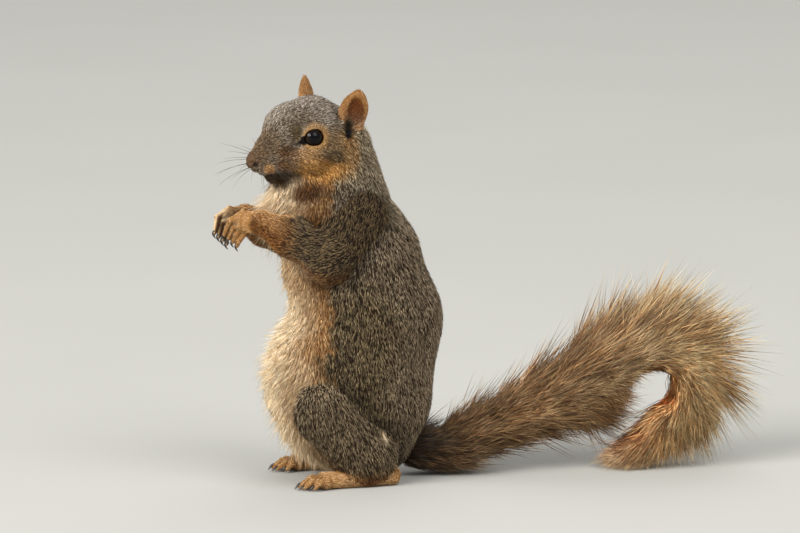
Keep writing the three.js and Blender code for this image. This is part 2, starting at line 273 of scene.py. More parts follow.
def earForms(name):
    leaf = {"coat": 0.5, "hair": 1.9, "lie": (0, 0.15, 1), "transform": earFrames[name]}
    return [form((0, 0, 0), (0, 0.6, 11), 7.2, 8.6, 0.36, **leaf),
            form((0, 0.6, 11), (0, 2, 16.5), 8.6, 7.6, 0.34, **leaf),
            form((0, 2, 16.5), (0, 3.4, 21.8), 7.6, 4.6, 0.32, **leaf)]


trunkForms = [
    form((0, -13, 208), (0, -12.5, 190), 20, 23, 0.95, coat=2.3, hair=5.5, lie=(0, 0.3, -1)),
    form((0, -13.5, 190), (0, -15, 168), 24.5, 33, 0.88, lie=(0, 0.1, -1)),
    form((0, -38, 183), (0, -41, 168), 18, 18, 1.15, coat=3, hair=7.5, lie=(0, -0.1, -1)),
    form((0, -15, 166), (0, -7, 138), 35, 42, 0.84, lie=(0, 0.1, -1)),
    form((0, -3, 134), (0, 6, 100), 41.5, 45, 0.86, lie=(0, 0.1, -1)),
    form((0, 3, 96), (0, -4, 60), 47, 51, 0.82, lie=(0, 0, -1)),
    form((0, -8, 66), (0, -6.5, 48), 49, 43, 0.8, lie=(0, 0.1, -1)),
    form((0, 5, 42), (0, 4, 29.5), 35, 31, 1.05, lie=(0, 0.5, -1)),
]


fingerRadius = 2.55


def foreLeg(name):
    sign = sides[name]
    lead = -4 if name == "right" else 0
    return {"sign": sign, "shoulder": (20.5 * sign, -6, 167), "elbow": (33 * sign, -28, 143),
            "middle": (24 * sign, -50 + lead, 155.5), "wrist": (15 * sign, -65 + lead, 163.5),
            "knuckles": np.array([9.5 * sign, -76 + lead, 168])}


def digitForms(points, radius, **more):
    root, joint, end = points
    return [form(root, joint, radius, radius * 0.9, coat=0.5, hair=1.9, **more),
            form(joint, end, radius * 0.9, radius * 0.72, coat=0.5, hair=1.6, **more)]


def fingerPoints(name, index):
    leg = foreLeg(name)
    sign = leg["sign"]
    across, ahead, up = leg["knuckles"]
    return ((across - 0.4 * index * sign, ahead + 0.8 * index, up - 3.6 * index + 1.5),
            (across - (1 + 0.3 * index) * sign, ahead - 8 + 1.8 * index, up - 4.3 * index - 3),
            (across - (5 - 0.3 * index) * sign, ahead - 11 + 2.6 * index, up - 2.4 * index - 12))


def armForms(name):
    leg = foreLeg(name)
    return [form(leg["shoulder"], leg["elbow"], 17, 15, 0.78, coat=2.3, hair=5.2),
            form(leg["elbow"], leg["middle"], 15, 12, 0.78, coat=1.8, hair=4.8),
            form(leg["middle"], leg["wrist"], 12, 8.4, 0.85, coat=1.2, hair=3.4)]


def handForms(name):
    leg = foreLeg(name)
    palmEnd = leg["knuckles"] - (0, 0, 4)
    forms = [form(leg["wrist"], palmEnd, 7.6, 7.4, 0.6, coat=0.7, hair=2.3)]
    for index in range(4):
        forms += digitForms(fingerPoints(name, index), fingerRadius)
    return forms


def hindLeg(name):
    sign = sides[name]
    return {"sign": sign, "knee": (34 * sign, -33, 48), "hock": (29 * sign, -4, 20),
            "heel": (29 * sign, 12, 5.8), "ball": np.array([34 * sign, -32, 4.9])}


toeRadius = 2.9
toeSpread = [(-7, 8), (-3.5, 13), (0.2, 14.5), (3.9, 13), (7.4, 7.5)]   # place across the foot, length


def toePoints(name, index):
    across, length = toeSpread[index]
    leg = hindLeg(name)
    ballX, ballY, _ = leg["ball"]
    sign = leg["sign"]
    return ((ballX + across * 0.85 * sign, ballY - 1, 5),
            (ballX + across * 1.1 * sign, ballY - length * 0.6, 5.6),
            (ballX + across * 1.2 * sign, ballY - length, 2.6))


def legForms(name):
    leg = hindLeg(name)
    return [form(leg["knee"], leg["hock"], 20, 21.5, 0.72, coat=2.4, hair=5.6, lie=(0, 0.25, -1))]


def footForms(name):
    leg = hindLeg(name)
    web = leg["ball"] + (0, -4.2, -0.3)
    forms = [form(leg["heel"], leg["ball"], 6.8, 6, 1.2, coat=0.8, hair=2.8),
             form(leg["ball"], web, 6, 3.6, 1.6, coat=0.8, hair=2.4)]
    for index in range(5):
        forms += digitForms(toePoints(name, index), toeRadius)
    return forms


# Each region flows within itself by its blend and into the rest of the body by its join
regions = [
    {"name": "trunk", "forms": trunkForms, "blend": 10, "join": 1},
    {"name": "head", "forms": headForms, "blend": 6, "join": 5},
]
for sideName in sides:
    regions += [
        {"name": "leg", "side": sideName, "forms": legForms(sideName), "blend": 4, "join": 4},
        {"name": "foot", "side": sideName, "forms": footForms(sideName), "blend": 1.2, "join": 3},
        {"name": "arm", "side": sideName, "forms": armForms(sideName), "blend": 6, "join": 9},
        {"name": "hand", "side": sideName, "forms": handForms(sideName), "blend": 0.6, "join": 1.5},
        {"name": "ear", "side": sideName, "forms": earForms(sideName), "blend": 3, "join": 2},
    ]

# The skin is the forms drawn in by the coat's depth, then sockets, lids, nostrils, lips and ear bowls
skinSettings = {
    # cell sizes in millimetres: (from, to, cell)
    "x": [(-50, -24, 1.8), (-24, 28, 0.8), (28, 50, 1.8)],
    "y": [(-98, -60, 0.7), (-60, -14, 0.9), (-14, 56, 1.8)],
    "z": [(-2, 12, 0.9), (12, 144, 1.9), (144, 176, 0.7), (176, 192, 1.2), (192, 254, 0.7)],
    "reach": 5,        # how far round a form the grid is worked out
    "carveReach": 4,   # and round what is cut or added after
}


def gridLine(spans):
    places = [np.arange(first, last, cell) for first, last, cell in spans]
    return np.concatenate(places + [np.array([spans[-1][1]])])


def blockAround(lines, ends, reach):
    # the part of the grid that these forms can touch
    block = []
    for line, low, high in zip(lines, ends.min(0), ends.max(0)):
        first, last = np.searchsorted(line, (low - reach, high + reach))
        block.append(slice(max(first - 1, 0), last + 1))
    return tuple(block)


def buildField():
    lines = [gridLine(skinSettings[axis]) for axis in "xyz"]
    field = np.full([len(line) for line in lines], 20, np.float32)
    for region in regions:
        ends = np.concatenate([piece["ends"] for piece in region["forms"]])
        widest = max(max(piece["radii"]) * max(piece["squeeze"]) for piece in region["forms"])
        block = blockAround(lines, ends, widest + skinSettings["reach"])
        places = np.ix_(*(line[part].astype(np.float32) for line, part in zip(lines, block)))
        own = None
        for piece in region["forms"]:
            distance = distanceTo(piece, *places) + piece["coat"]
            own = distance if own is None else softUnion(own, distance, region["blend"])
        field[block] = softUnion(field[block], own, region["join"])
    carve(field, lines)
    return field, lines


def carve(field, lines):
    for transform, start, end, startRadius, endRadius, blend, cut, *squeeze in features():
        piece = form(start, end, startRadius, endRadius, *squeeze, transform=transform)
        reach = max(piece["radii"]) * max(piece["squeeze"]) + skinSettings["carveReach"]
        block = blockAround(lines, piece["ends"], reach)
        distance = distanceTo(piece, *np.ix_(*(line[part] for line, part in zip(lines, block))))
        field[block] = (softCut if cut else softUnion)(field[block], distance, blend)
    field[:] = np.maximum(field, 0.1 - lines[2])   # the soles and rump are flat on the ground


eyeLook = (78, 6)   # degrees outwards from the nose, and upwards


def eyeFrame(name):
    # its X looks out of the socket, Y towards the back of the head, Z up
    outward, up = eyeLook
    own = turning(eyePlace, (outward - 90, "Z"), (-up, "Y"))
    return headFrame @ np.diag([sides[name], 1, 1, 1]) @ own


def features():
    # what is added to the skin or cut from it:
    # its frame, start, end, two radii, blend, cut or not, and its width and height where they aren't 1
    found = [(headFrame, (0, -35.4, -18.4), (0, -30.5, -23.5), 0.5, 0.7, 1, True)]    # cleft of the lip
    for name, sign in sides.items():
        eye, ear, mirrored = eyeFrame(name), earFrames[name], headFrame @ np.diag([sign, 1, 1, 1])
        socket = eyeRadius + 0.15
        found += [
            (eye, (-0.8, 0, 0), (-0.8, 0, 0), 7.5, 7.5, 5, False),                      # bulge of the lids
            (eye, (0, 0, 0), (0, 0, 0), socket, socket, 0.3, True),
            (eye, (6, 0.8, 0.1), (6, -1.2, -0.3), 5.9, 5.6, 0.7, True, 1, 0.84),        # opening of the lids
            (eye, (5.6, -4.6, -1.4), (4.4, -8.4, -3.2), 2.2, 0.8, 0.6, True, 1, 0.8),   # its front corner
            (mirrored, (1.8, -36.4, -16), (3.6, -35, -15.2), 0.6, 0.8, 0.5, True),      # nostril
            (mirrored, (3.8, -35, -15.4), (5, -32.6, -17.8), 0.8, 0.4, 0.5, True),
            (mirrored, (0.8, -33.6, -20.2), (4.6, -30.4, -19.4), 0.5, 0.7, 0.8, True),  # under the nose
            (mirrored, (0.5, -29.5, -23), (5.5, -24.5, -23.4), 0.8, 0.9, 1.2, True),    # mouth
            (mirrored, (5.5, -24.5, -23.4), (9.5, -14, -21.5), 0.9, 0.5, 1.2, True),
            (ear, (3.3, -0.5, 2.5), (3.1, 2.3, 18), 6.4, 4.7, 0.8, True, 0.5),          # ear bowl
            (ear, (1.6, -2.4, 1), (1.8, -2, 7), 3, 2.2, 1.2, True),                     # ear opening
        ]
    return found


def meshField(field, lines):
    grid = openvdb.FloatGrid(10.0)
    grid.copyFromArray(np.clip(field, -4, 4).astype(np.float32))
    points, quads = grid.convertToQuads(isovalue=0.0)
    points = np.stack([np.interp(points[:, axis], np.arange(len(lines[axis])), lines[axis])
                       for axis in range(3)], axis=1)
    return points, quads


def largestShell(points, quads):
    # keeps the skin itself and drops any crumb cut loose by the carving
    label = np.arange(len(points))
    while True:
        lowest = label[quads].min(axis=1)
        fresh = label.copy()
        np.minimum.at(fresh, quads.ravel(), np.repeat(lowest, 4))
        fresh = fresh[fresh]
        if np.array_equal(fresh, label):
            break
        label = fresh
    names, counts = np.unique(label, return_counts=True)
    kept = label == names[counts.argmax()]
    renumber = np.cumsum(kept) - 1
    return points[kept], renumber[quads[kept[quads].all(axis=1)]]


def meshObject(name, points, faces, material=None, smooth=True):
    mesh = bpy.data.meshes.new(name)
    mesh.from_pydata(points.tolist() if isinstance(points, np.ndarray) else points, [],
                     faces.tolist() if isinstance(faces, np.ndarray) else faces)
    mesh.update()
    mesh.polygons.foreach_set("use_smooth", [smooth] * len(mesh.polygons))
    if material is not None:
        mesh.materials.append(material)
    piece = bpy.data.objects.new(name, mesh)
    bpy.context.scene.collection.objects.link(piece)
    return piece


def tubeFaces(rings, sides):
    # the last two points close it, one before the first ring and one after the last
    faces = []
    for ring in range(rings - 1):
        for side in range(sides):
            a, b = ring * sides + side, ring * sides + (side + 1) % sides
            faces.append((a, b, b + sides, a + sides))
    first, last, end = rings * sides, rings * sides + 1, (rings - 1) * sides
    for side in range(sides):
        faces.append((first, (side + 1) % sides, side))
        faces.append((last, end + side, end + (side + 1) % sides))
    return faces


# Markings are shades of the coat, laid over one another in soft patches.
# Each coat has the colour at the hair's root, then its dark, middle and light hairs
coats = {
    "grizzle": ("#20160d", "#2c2015", "#5f4c38", "#efd5b0"),
    "nape": ("#33271a", "#453521", "#857155", "#fbe8c6"),
    "crown": ("#3a2e23", "#453728", "#8e7f6c", "#fdeedb"),
    "muzzle": ("#302318", "#382919", "#654f36", "#ae916b"),
    "flank": ("#1a1108", "#23180d", "#4f3d27", "#cdb488"),
    "shadowGrey": ("#2a2013", "#332717", "#5c4932", "#a0875f"),
    "cheek": ("#70441a", "#80501c", "#c98b3e", "#f2c477"),
    "eyeRing": ("#846036", "#916b3f", "#c89a61", "#edca94"),
    "temple": ("#493622", "#533e27", "#8a6c45", "#cda978"),
    "cream": ("#eec892", "#f4d2a0", "#ffe3b8", "#fff4da"),
    "orange": ("#87562a", "#8a5828", "#c9935a", "#f2cd95"),
    # painted shade: laid on the upper belly under the forelegs and on the throat under the jaw
    "shadedOrange": ("#3f240c", "#45280e", "#70441a", "#a66e31"),
    # dark orange of the forearms and feet, also used as painted shade under the arms and between the toes
    "armOrange": ("#381d09", "#3f210a", "#6c3e15", "#b27835"),
    "buff": ("#855829", "#8c5f31", "#cf9b5f", "#f6d6a4"),
    "rust": ("#3d1d07", "#45230a", "#6c3a12", "#955c28"),
    "earEdge": ("#704a24", "#7c5128", "#b07c44", "#dcb07a"),
    # dark chin and lips, also used as painted shade under the jaw and below the cheeks
    "darkChinAndShade": ("#2a1c10", "#2d1f12", "#4a3722", "#6d5436"),
    "snout": ("#3c2b1c", "#463322", "#745a40", "#a78a67"),
    # black rims of the lids, also used as painted shade in the nostrils and ear openings
    "blackLidAndHollowShade": ("#080504", "#090605", "#0f0a07", "#19110b"),
    "nose": ("#3f2e20", "#4c3826", "#6d533a", "#8a6c4e"),
    # dark pads of the palms, also used as painted shade between the fingers
    "pad": ("#2a1b12", "#2f2017", "#463126", "#654b3c"),
    # painted shade: the grizzle darkened, for the upper arms and the side of the neck
    "shadedArmGrey": ("#140d06", "#1a1209", "#38291a", "#9c825b"),
}


markingSettings = {
    # height, and degrees round from the middle of the belly where the grizzled side begins
    "bellyEdge": [(20, 60), (55, 50), (66, 54), (78, 46), (90, 43), (108, 48), (132, 54), (160, 66),
                  (190, 70)],
    "hipSpot": ((40, 5, 33.5), (5, 1.9, 4.2)),   # a small pale spot on the left hip: place, half sizes
    "limbFoldShade": 0.46,    # how far the painted shade in the folds beside the limbs darkens the coat
    "looseFoldShade": 0.34,   # and the painted shade in the loose folds of skin between the ribs and the knee
    "looseSpacing": 8.5,  # millimetres from one loose fold to the next
}


def coatShades(name):
    return np.array([linear(shade) for shade in coats[name]])


def smoothStep(low, high, value):
    share = np.clip((value - low) / (high - low), 0, 1)
    return share * share * (3 - 2 * share)


def within(places, middle, half):
    # how far each place is from the middle of an ellipsoid, where 1 is its surface
    return np.linalg.norm((places - np.array(middle)) / np.array(half), axis=1)


def patch(points, transform, place, half, soft=0.35):
    local = moved(np.linalg.inv(transform), points)
    local[:, 0] = np.abs(local[:, 0])   # both sides alike
    return 1 - smoothStep(1 - soft, 1 + soft, within(local, place, half))


def fromEye(points):
    # millimetres from the middle of the nearer eye
    local = moved(np.linalg.inv(headFrame), points)
    local[:, 0] = np.abs(local[:, 0])
    return np.linalg.norm(local - eyePlace, axis=1)


# place in the head's frame, half sizes in millimetres, softness, coat, strength
headPatches = [
    ((0, -25, -7), (14, 19, 12), 0.5, "muzzle", 0.9),
    ((0, -32, -13), (9, 7, 9), 0.4, "snout", 0.85),
    ((19, 13, -7), (8, 17, 12), 0.5, "temple", 0.9),
    ((17, -5, -9), (8, 8, 3.6), 0.5, "cheek", 0.6),
    ((16, 6.5, -18.5), (14, 23.5, 8.5), 0.3, "cheek", 0.95),
    ((22, 11, -11), (7, 7, 3.8), 0.45, "shadowGrey", 0.85),
    ((13, -10, 9), (9, 14, 8.5), 0.5, "shadowGrey", 0.55),
    ((15, -12.5, 2.5), (6, 3.8, 6.5), 0.6, "shadowGrey", 1),
    ((14, -17, -10), (7, 6, 4.5), 0.5, "armOrange", 0.75),
    ((18, 21, -23), (10, 10, 7), 0.4, "buff", 0.75),
    ((22, 22, -8), (8, 5.5, 15), 0.5, "cheek", 0.4),
    ((10, -16, -17), (9, 8, 4.5), 0.5, "snout", 0.9),
    ((12, -19, -17.5), (3.5, 4, 3), 0.5, "armOrange", 0.6),
    ((7, -26, -19.3), (3.4, 3.8, 3.3), 0.3, "orange", 1),
    # dark lips and chin, with painted shade under the lower jaw
    ((3, -19, -27), (9, 12, 5.5), 0.3, "darkChinAndShade", 1),
    ((10, -12, -24), (6, 9, 3.5), 0.5, "darkChinAndShade", 0.85),
    ((0, 4, -34), (16, 14, 8), 0.4, "cream", 1),
    # painted shade on the throat under the jaw
    ((15, 2, -31), (8, 13, 6), 0.4, "shadedOrange", 0.95),
    # painted shade on the neck below the cheek
    ((17, 14, -32), (12, 19, 3.4), 0.5, "darkChinAndShade", 0.7),
    ((13.5, -15, -8.5), (6, 4, 3), 0.5, "darkChinAndShade", 0.6),
    ((17, 3, -10.4), (6, 8, 1.9), 0.5, "shadowGrey", 0.75),
]


def frontCorner(points):
    # the dark front corner of the lids, wide beside the eye and pointed ahead of it
    return np.max([patch(points, headFrame, (18, -7.7, -1.2), (3.5, 2.3, 3), 0.15),
                   patch(points, headFrame, (17.5, -9.6, -2.5), (3, 1.9, 1.7), 0.2),
                   patch(points, headFrame, (17, -10.9, -3.3), (3, 1.5, 0.9), 0.3)], axis=0)


def earOpening(local):
    return 1 - smoothStep(0.75, 1.15, within(local, (3.4, -2.2, 1), (5.5, 3.8, 8)))


def shadeBetweenDigits(points, digits, radius):
    # painted shade in the dark gaps between neighbouring fingers or toes
    distances = np.sort([np.min([distanceTo(piece, *points.T) for piece in digitForms(digit, radius)], axis=0)
                         for digit in digits], axis=0)
    return 1 - smoothStep(0.4, 1.6, distances[1] - distances[0])


def trunkAxis(z):
    return np.interp(z, [30, 60, 100, 138, 168, 206], [4, -5, 5, -7, -15, -13])


def regionMask(owner, *names):
    return np.isin(owner, [index for index, region in enumerate(regions) if region["name"] in names])


def lay(shades, coat, weight):
    # one coat laid over the shades so far, as strongly as its weight
    weight = np.clip(weight, 0, 1)[:, None, None]
    shades[:] = shades * (1 - weight) + coatShades(coat)[None] * weight


def markTrunk(shades, points, trunk, leg, front, around, edge):
    z = points[:, 2]
    side = trunk * (1 - smoothStep(88, 128, around)) * (1 - smoothStep(112, 140, z))
    lay(shades, "flank", np.maximum(side, leg * 0.55))
    lay(shades, "orange", front)
    wider = 15 * np.exp(-((z - 74) / 16) ** 2)   # the pale belly reaches furthest round above the knee
    inner = trunk * (1 - smoothStep(edge - 34 + wider, edge - 8 + wider * 0.5, around))
    # painted shade: less cream high on the sides of the chest
    lay(shades, "cream", inner * (1 - 0.5 * smoothStep(150, 170, z) * smoothStep(30, 60, around)))
    lay(shades, "orange", inner * smoothStep(8, 32, around) * (1 - smoothStep(120, 140, z)) * 0.45)
    upper = front * smoothStep(108, 130, z)
    lay(shades, "orange", upper * (1 - smoothStep(172, 186, z)) * 0.55)
    # painted shade under the forelegs: dark orange on the upper belly beside the arms, fainter near the neck
    lay(shades, "shadedOrange", upper * smoothStep(26, 50, around) * (1 - 0.6 * smoothStep(164, 176, z)))
    spot = 1 - smoothStep(0.7, 1.2, within(points, *markingSettings["hipSpot"]))
    lay(shades, "cream", 0.85 * spot * (trunk | leg))


def markHindLegs(shades, points, normals, inward, leg, foot):
    # pale on the inner side and down the front of the shin, turning orange towards the foot
    _, y, z = points.T
    shin = leg * smoothStep(0.55, 0.95, 0.85 * inward - 0.8 * normals[:, 1])
    lay(shades, "orange", shin)
    lay(shades, "cream", shin * smoothStep(22, 55, z) * 0.2)
    lay(shades, "armOrange", leg * (1 - smoothStep(6, 16, z)) * 0.8)
    lay(shades, "buff", foot)
    toes = [toePoints(name, index) for name in sides for index in range(5)]
    # painted shade in the gaps between the toes
    lay(shades, "armOrange", foot * shadeBetweenDigits(points, toes, toeRadius) * smoothStep(-31, -35, y) * 0.8)


def markForelegs(shades, points, normals, inward, arm, hand):
    # grizzled above, orange below the elbow and on the inside, with dark pads; painted shade darkens the
    # upper arm, the underside of the arm and the gaps between the fingers, and painted light makes the front
    # of the far hand pale
    x, y, z = points.T
    up = normals[:, 2]
    # painted shade: the upper arm is a darker grizzle and the underside of the arm darker orange; the front
    # of the forearm is its own dark orange
    lay(shades, "shadedArmGrey", arm)
    lay(shades, "armOrange", arm * np.maximum(smoothStep(-42, -62, y), 0.5 * smoothStep(0.2, 0.7, -up)))
    lay(shades, "orange", arm * smoothStep(-20, -34, y) * smoothStep(0.1, 0.6, inward + 0.75 * up) * 0.85)
    lay(shades, "orange", arm * smoothStep(-48, -62, y) * smoothStep(-0.1, 0.6, up) * 0.6)
    lay(shades, "buff", hand)
    # painted light: the forward-facing side of the far hand is laid pale cream, and keeps no dark pad
    ahead = (x < 0) * smoothStep(-0.1, 0.5, -normals[:, 1])
    lay(shades, "cream", hand * ahead * 0.7)
    palm = smoothStep(0.25, 0.7, inward) * smoothStep(176, 164, z) * np.where(x < 0, 0.8, 0.5)
    lay(shades, "pad", hand * palm * (1 - ahead))
    # painted shade in the gaps between the fingers
    fingers = [fingerPoints(name, index) for name in sides for index in range(4)]
    lay(shades, "pad", hand * shadeBetweenDigits(points, fingers, fingerRadius) * smoothStep(-78, -84, y) * 0.75)


def markHead(shades, points, head, trunk, front):
    local = moved(np.linalg.inv(headFrame), points)
    lay(shades, "crown", head)
    lay(shades, "nape", head * smoothStep(4, 32, local[:, 1] - 0.5 * local[:, 2]))
    lay(shades, "nape", trunk * smoothStep(150, 195, points[:, 2]) * (1 - front))
    # painted shade on the neck below the jaw: darker grizzle at its side and dark orange at the throat
    neckShadow = patch(points, headFrame, (18, 22, -33), (14, 15, 9), 0.5)
    lay(shades, "shadedArmGrey", trunk * (1 - front) * neckShadow * 0.6)
    lay(shades, "shadedOrange", front * patch(points, headFrame, (16, 3, -32), (8, 13, 6), 0.4) * 0.9)
    for place, half, soft, coat, strength in headPatches:
        lay(shades, coat, (head | trunk) * patch(points, headFrame, place, half, soft) * strength)
    far = fromEye(points)
    ring = far - 0.1 * (local[:, 1] - eyePlace[1])   # the pale ring is narrow in front and wide behind
    fainter = 0.95 - 0.35 * smoothStep(1, 7, local[:, 2])   # above the eye
    lay(shades, "eyeRing", head * (1 - smoothStep(8.5, 10, ring)) * fainter)
    lay(shades, "blackLidAndHollowShade", head * (1 - smoothStep(6.9, 7.3, far)))
    lay(shades, "blackLidAndHollowShade", head * frontCorner(points))
    lay(shades, "nose", head * patch(points, headFrame, (0, -35.6, -14.8), (5.2, 5, 4.8), 0.15))
    # painted shade: the nostrils are darkened to near black
    nostrils = patch(points, headFrame, (4.4, -33.9, -16.6), (1.3, 2, 1.5), 0.3)
    lay(shades, "blackLidAndHollowShade", head * nostrils * 0.85)


def markEars(shades, points, ears, beside):
    # rust inside with a pale edge, grey at the foot, and its opening painted near-black as painted shade in
    # the hollow
    for name in sides:
        own = moved(np.linalg.inv(earFrames[name]), points)
        opening = earOpening(own)
        # painted shade: the ear opening darkened to near black on the head and neck beside it
        lay(shades, "blackLidAndHollowShade", beside * opening)
        ear = ears * (1 - smoothStep(12, 14, np.linalg.norm(own - (0, 0, 13), axis=1) * 0.8))
        lay(shades, "earEdge", ear)
        hollow = within(own[:, 1:], (2.2, 11.5), (5.6, 10))
        lay(shades, "rust", ear * smoothStep(-0.6, 0.1, own[:, 0]) * (1 - smoothStep(0.8, 1.05, hollow)))
        lay(shades, "crown", ear * (1 - smoothStep(3, 13, own[:, 2])) * np.where(own[:, 0] < -0.6, 0.85, 0.2))
        # painted shade in the ear opening
        lay(shades, "blackLidAndHollowShade", ear * opening)


def foldShade(points, trunk, front, around, edge):
    # painted shade: the coat is darker in the folds beside the limbs, and in bands across the loose skin
    # between the ribs and the knee
    _, y, z = points.T
    nearArm, nearLeg = (np.min([distanceTo(piece, *points.T) for region in regions if region["name"] == name
                                for piece in region["forms"]], axis=0) for name in ("arm", "leg"))
    fold = np.maximum(1 - smoothStep(0, 11, nearArm), (1 - smoothStep(0, 14, nearLeg)) * (1 - 0.8 * front))
    fold = trunk * fold
    wander = z + 0.3 * y + swirl(points, 20, 14)[:, 0] * 3
    wave = np.sin(2 * math.pi * wander / markingSettings["looseSpacing"])
    loose = trunk * smoothStep(edge - 4, edge + 4, around) * (1 - smoothStep(edge + 18, edge + 42, around))
    loose = loose * smoothStep(58, 72, z) * (1 - smoothStep(108, 122, z)) * smoothStep(-0.1, 0.9, wave)
    return 1 - markingSettings["limbFoldShade"] * fold - markingSettings["looseFoldShade"] * loose * (1 - fold)


def coatMarkings(points, normals, owner):
    # the four shades of each point's hair: root, dark, middle and light
    shades = np.repeat(coatShades("grizzle")[None], len(points), axis=0)
    trunk, head, leg, foot, arm, hand, ear = (regionMask(owner, name) for name in
                                              ("trunk", "head", "leg", "foot", "arm", "hand", "ear"))
    x, y, z = points.T
    around = np.degrees(np.arctan2(np.abs(x), trunkAxis(z) - y))
    edge = np.interp(z, *zip(*markingSettings["bellyEdge"]))
    edge = edge + swirl(points, 12, 3)[:, 0] * 4 + swirl(points, 3, 13)[:, 0] * 2.5
    front = trunk * (1 - smoothStep(edge - 6, edge + 5, around))
    inward = -normals[:, 0] * np.sign(x)
    markTrunk(shades, points, trunk, leg, front, around, edge)
    markHindLegs(shades, points, normals, inward, leg, foot)
    markForelegs(shades, points, normals, inward, arm, hand)
    markHead(shades, points, head, trunk, front)
    markEars(shades, points, ear, head | trunk)
    return shades * foldShade(points, trunk, front, around, edge)[:, None, None]


# The coat is tufts of hair rooted on the skin and lying along the body
def surfaceOf(points, quads):
    # its triangles, their areas, and the normal at each point
    triangles = np.concatenate([quads[:, [0, 1, 2]], quads[:, [0, 2, 3]]])
    cross = np.cross(points[triangles[:, 1]] - points[triangles[:, 0]],
                     points[triangles[:, 2]] - points[triangles[:, 0]])
    normals = np.zeros_like(points)
    for corner in range(3):
        np.add.at(normals, triangles[:, corner], cross)
    normals /= np.maximum(np.linalg.norm(normals, axis=1, keepdims=True), 1e-9)
    return triangles, np.linalg.norm(cross, axis=1) / 2, normals


def bodyFields(points):
    # the nearest region, and the hair's lie, length and depth, mixed from the nearby forms
    pieces = [(piece, index) for index, region in enumerate(regions) for piece in region["forms"]]
    distances = np.stack([distanceTo(piece, *points.T) for piece, _ in pieces])
    weights = np.exp(-np.maximum(distances - distances.min(axis=0), 0) / 2.2)
    weights /= weights.sum(axis=0)
    lie = weights.T @ np.array([piece["lie"] for piece, _ in pieces])
    hair = weights.T @ np.array([piece["hair"] for piece, _ in pieces])
    owner = np.array([index for _, index in pieces])[distances.argmin(axis=0)]
    return owner, lie, hair


def swirl(points, size, seed):
    # a smooth repeatable wander of directions, about size millimetres from one wave to the next
    draw = np.random.default_rng(seed)
    total = np.zeros((len(points), 3))
    for _ in range(5):
        wave = draw.normal(size=(3, 3)) * 2 * math.pi / size * 0.6
        total += np.sin(points @ wave + draw.uniform(0, 6.28, 3)) * 0.45
    return total


def tuftShape(name, rings, thickness, lift):
    # a slender closed lock along Z, flat across X, arched so that its middle stands up and its tip lies down
    points, along = [(0, 0, 0)], [0]
    for height, half in rings:
        rise = lift * 4 * height * (1 - height) - lift * height
        points += [(-half, rise, height), (half, rise, height), (0, rise + thickness * half * 2, height)]
        along += [height] * 3
    points.append((0, -lift, 1))
    along.append(1)
    faces = [(0, 2, 1), (0, 3, 2), (0, 1, 3)]
    for ring in range(len(rings) - 1):
        low, high = 1 + 3 * ring, 4 + 3 * ring
        for a, b in ((0, 1), (1, 2), (2, 0)):
            faces.append((low + a, low + b, high + b, high + a))
    last, tip = 1 + 3 * (len(rings) - 1), len(points) - 1
    faces += [(last, last + 1, tip), (last + 1, last + 2, tip), (last + 2, last, tip)]
    mesh = bpy.data.meshes.new(name)
    mesh.from_pydata(points, [], faces)
    mesh.update()
    mesh.polygons.foreach_set("use_smooth", [True] * len(faces))
    mesh.attributes.new("along", "FLOAT", "POINT").data.foreach_set("value", along)
    spread = mesh.attributes.new("patch", "FLOAT_VECTOR", "POINT")
    spread.data.foreach_set("vector", [value for (px, _, pz) in points for value in (px, pz - 0.5, 0)])
    return bpy.data.objects.new(name, mesh)   # never linked: only the node tree uses it


plantingSettings = {
    "Width": 1.0,      # times the width that each root asks for
    "Patch": 0.003,    # across one tuft's patch of the coat's map
}


def plantingTree():
    # plants one tuft on each root, turned along its hair's lie
    tree = bpy.data.node_groups.new("plant tufts", "GeometryNodeTree")
    for name, kind in (("Geometry", "Geometry"), ("Tuft", "Object"), ("Width", "Float"), ("Patch", "Float"),
                       ("Finish", "Material")):
        tree.interface.new_socket(name=name, in_out="INPUT", socket_type="NodeSocket" + kind)
    tree.interface.new_socket(name="Geometry", in_out="OUTPUT", socket_type="NodeSocketGeometry")
    given = addNode(tree, "NodeGroupInput")
    read = {}
    for name in ("lie", "up", "size", "root", "patch"):
        read[name] = addNode(tree, "GeometryNodeInputNamedAttribute",
                             {"data_type": "FLOAT_VECTOR", "Name": name})
    turn = addNode(tree, "FunctionNodeAxesToRotation", {"primary_axis": "Z", "secondary_axis": "Y"},
                   {"Primary Axis": read["lie"].outputs[0], "Secondary Axis": read["up"].outputs[0]})
    widen = addNode(tree, "ShaderNodeCombineXYZ", {"Z": 1},
                    {"X": given.outputs["Width"], "Y": given.outputs["Width"]})
    size = addNode(tree, "ShaderNodeVectorMath", {"operation": "MULTIPLY"},
                   {0: read["size"].outputs[0], 1: widen.outputs[0]})
    tuft = addNode(tree, "GeometryNodeObjectInfo", None, {"Object": given.outputs["Tuft"]})
    planted = addNode(tree, "GeometryNodeInstanceOnPoints", None,
                      {"Points": given.outputs["Geometry"], "Instance": tuft.outputs["Geometry"],
                       "Rotation": turn.outputs[0], "Scale": size.outputs[0]})
    solid = addNode(tree, "GeometryNodeRealizeInstances", None, {"Geometry": planted.outputs[0]})
    spread = addNode(tree, "ShaderNodeVectorMath", {"operation": "SCALE"},
                     {0: read["patch"].outputs[0], "Scale": given.outputs["Patch"]})
    place = addNode(tree, "ShaderNodeVectorMath", {"operation": "ADD"},
                    {0: read["root"].outputs[0], 1: spread.outputs[0]})
    stored = addNode(tree, "GeometryNodeStoreNamedAttribute",
                     {"data_type": "FLOAT2", "domain": "CORNER", "Name": "OFBake"},
                     {"Geometry": solid.outputs[0], "Value": place.outputs[0]})
    finish = addNode(tree, "GeometryNodeSetMaterial", None,
                     {"Geometry": stored.outputs[0], "Material": given.outputs["Finish"]})
    addNode(tree, "NodeGroupOutput", None, {"Geometry": finish.outputs[0]})
    return tree


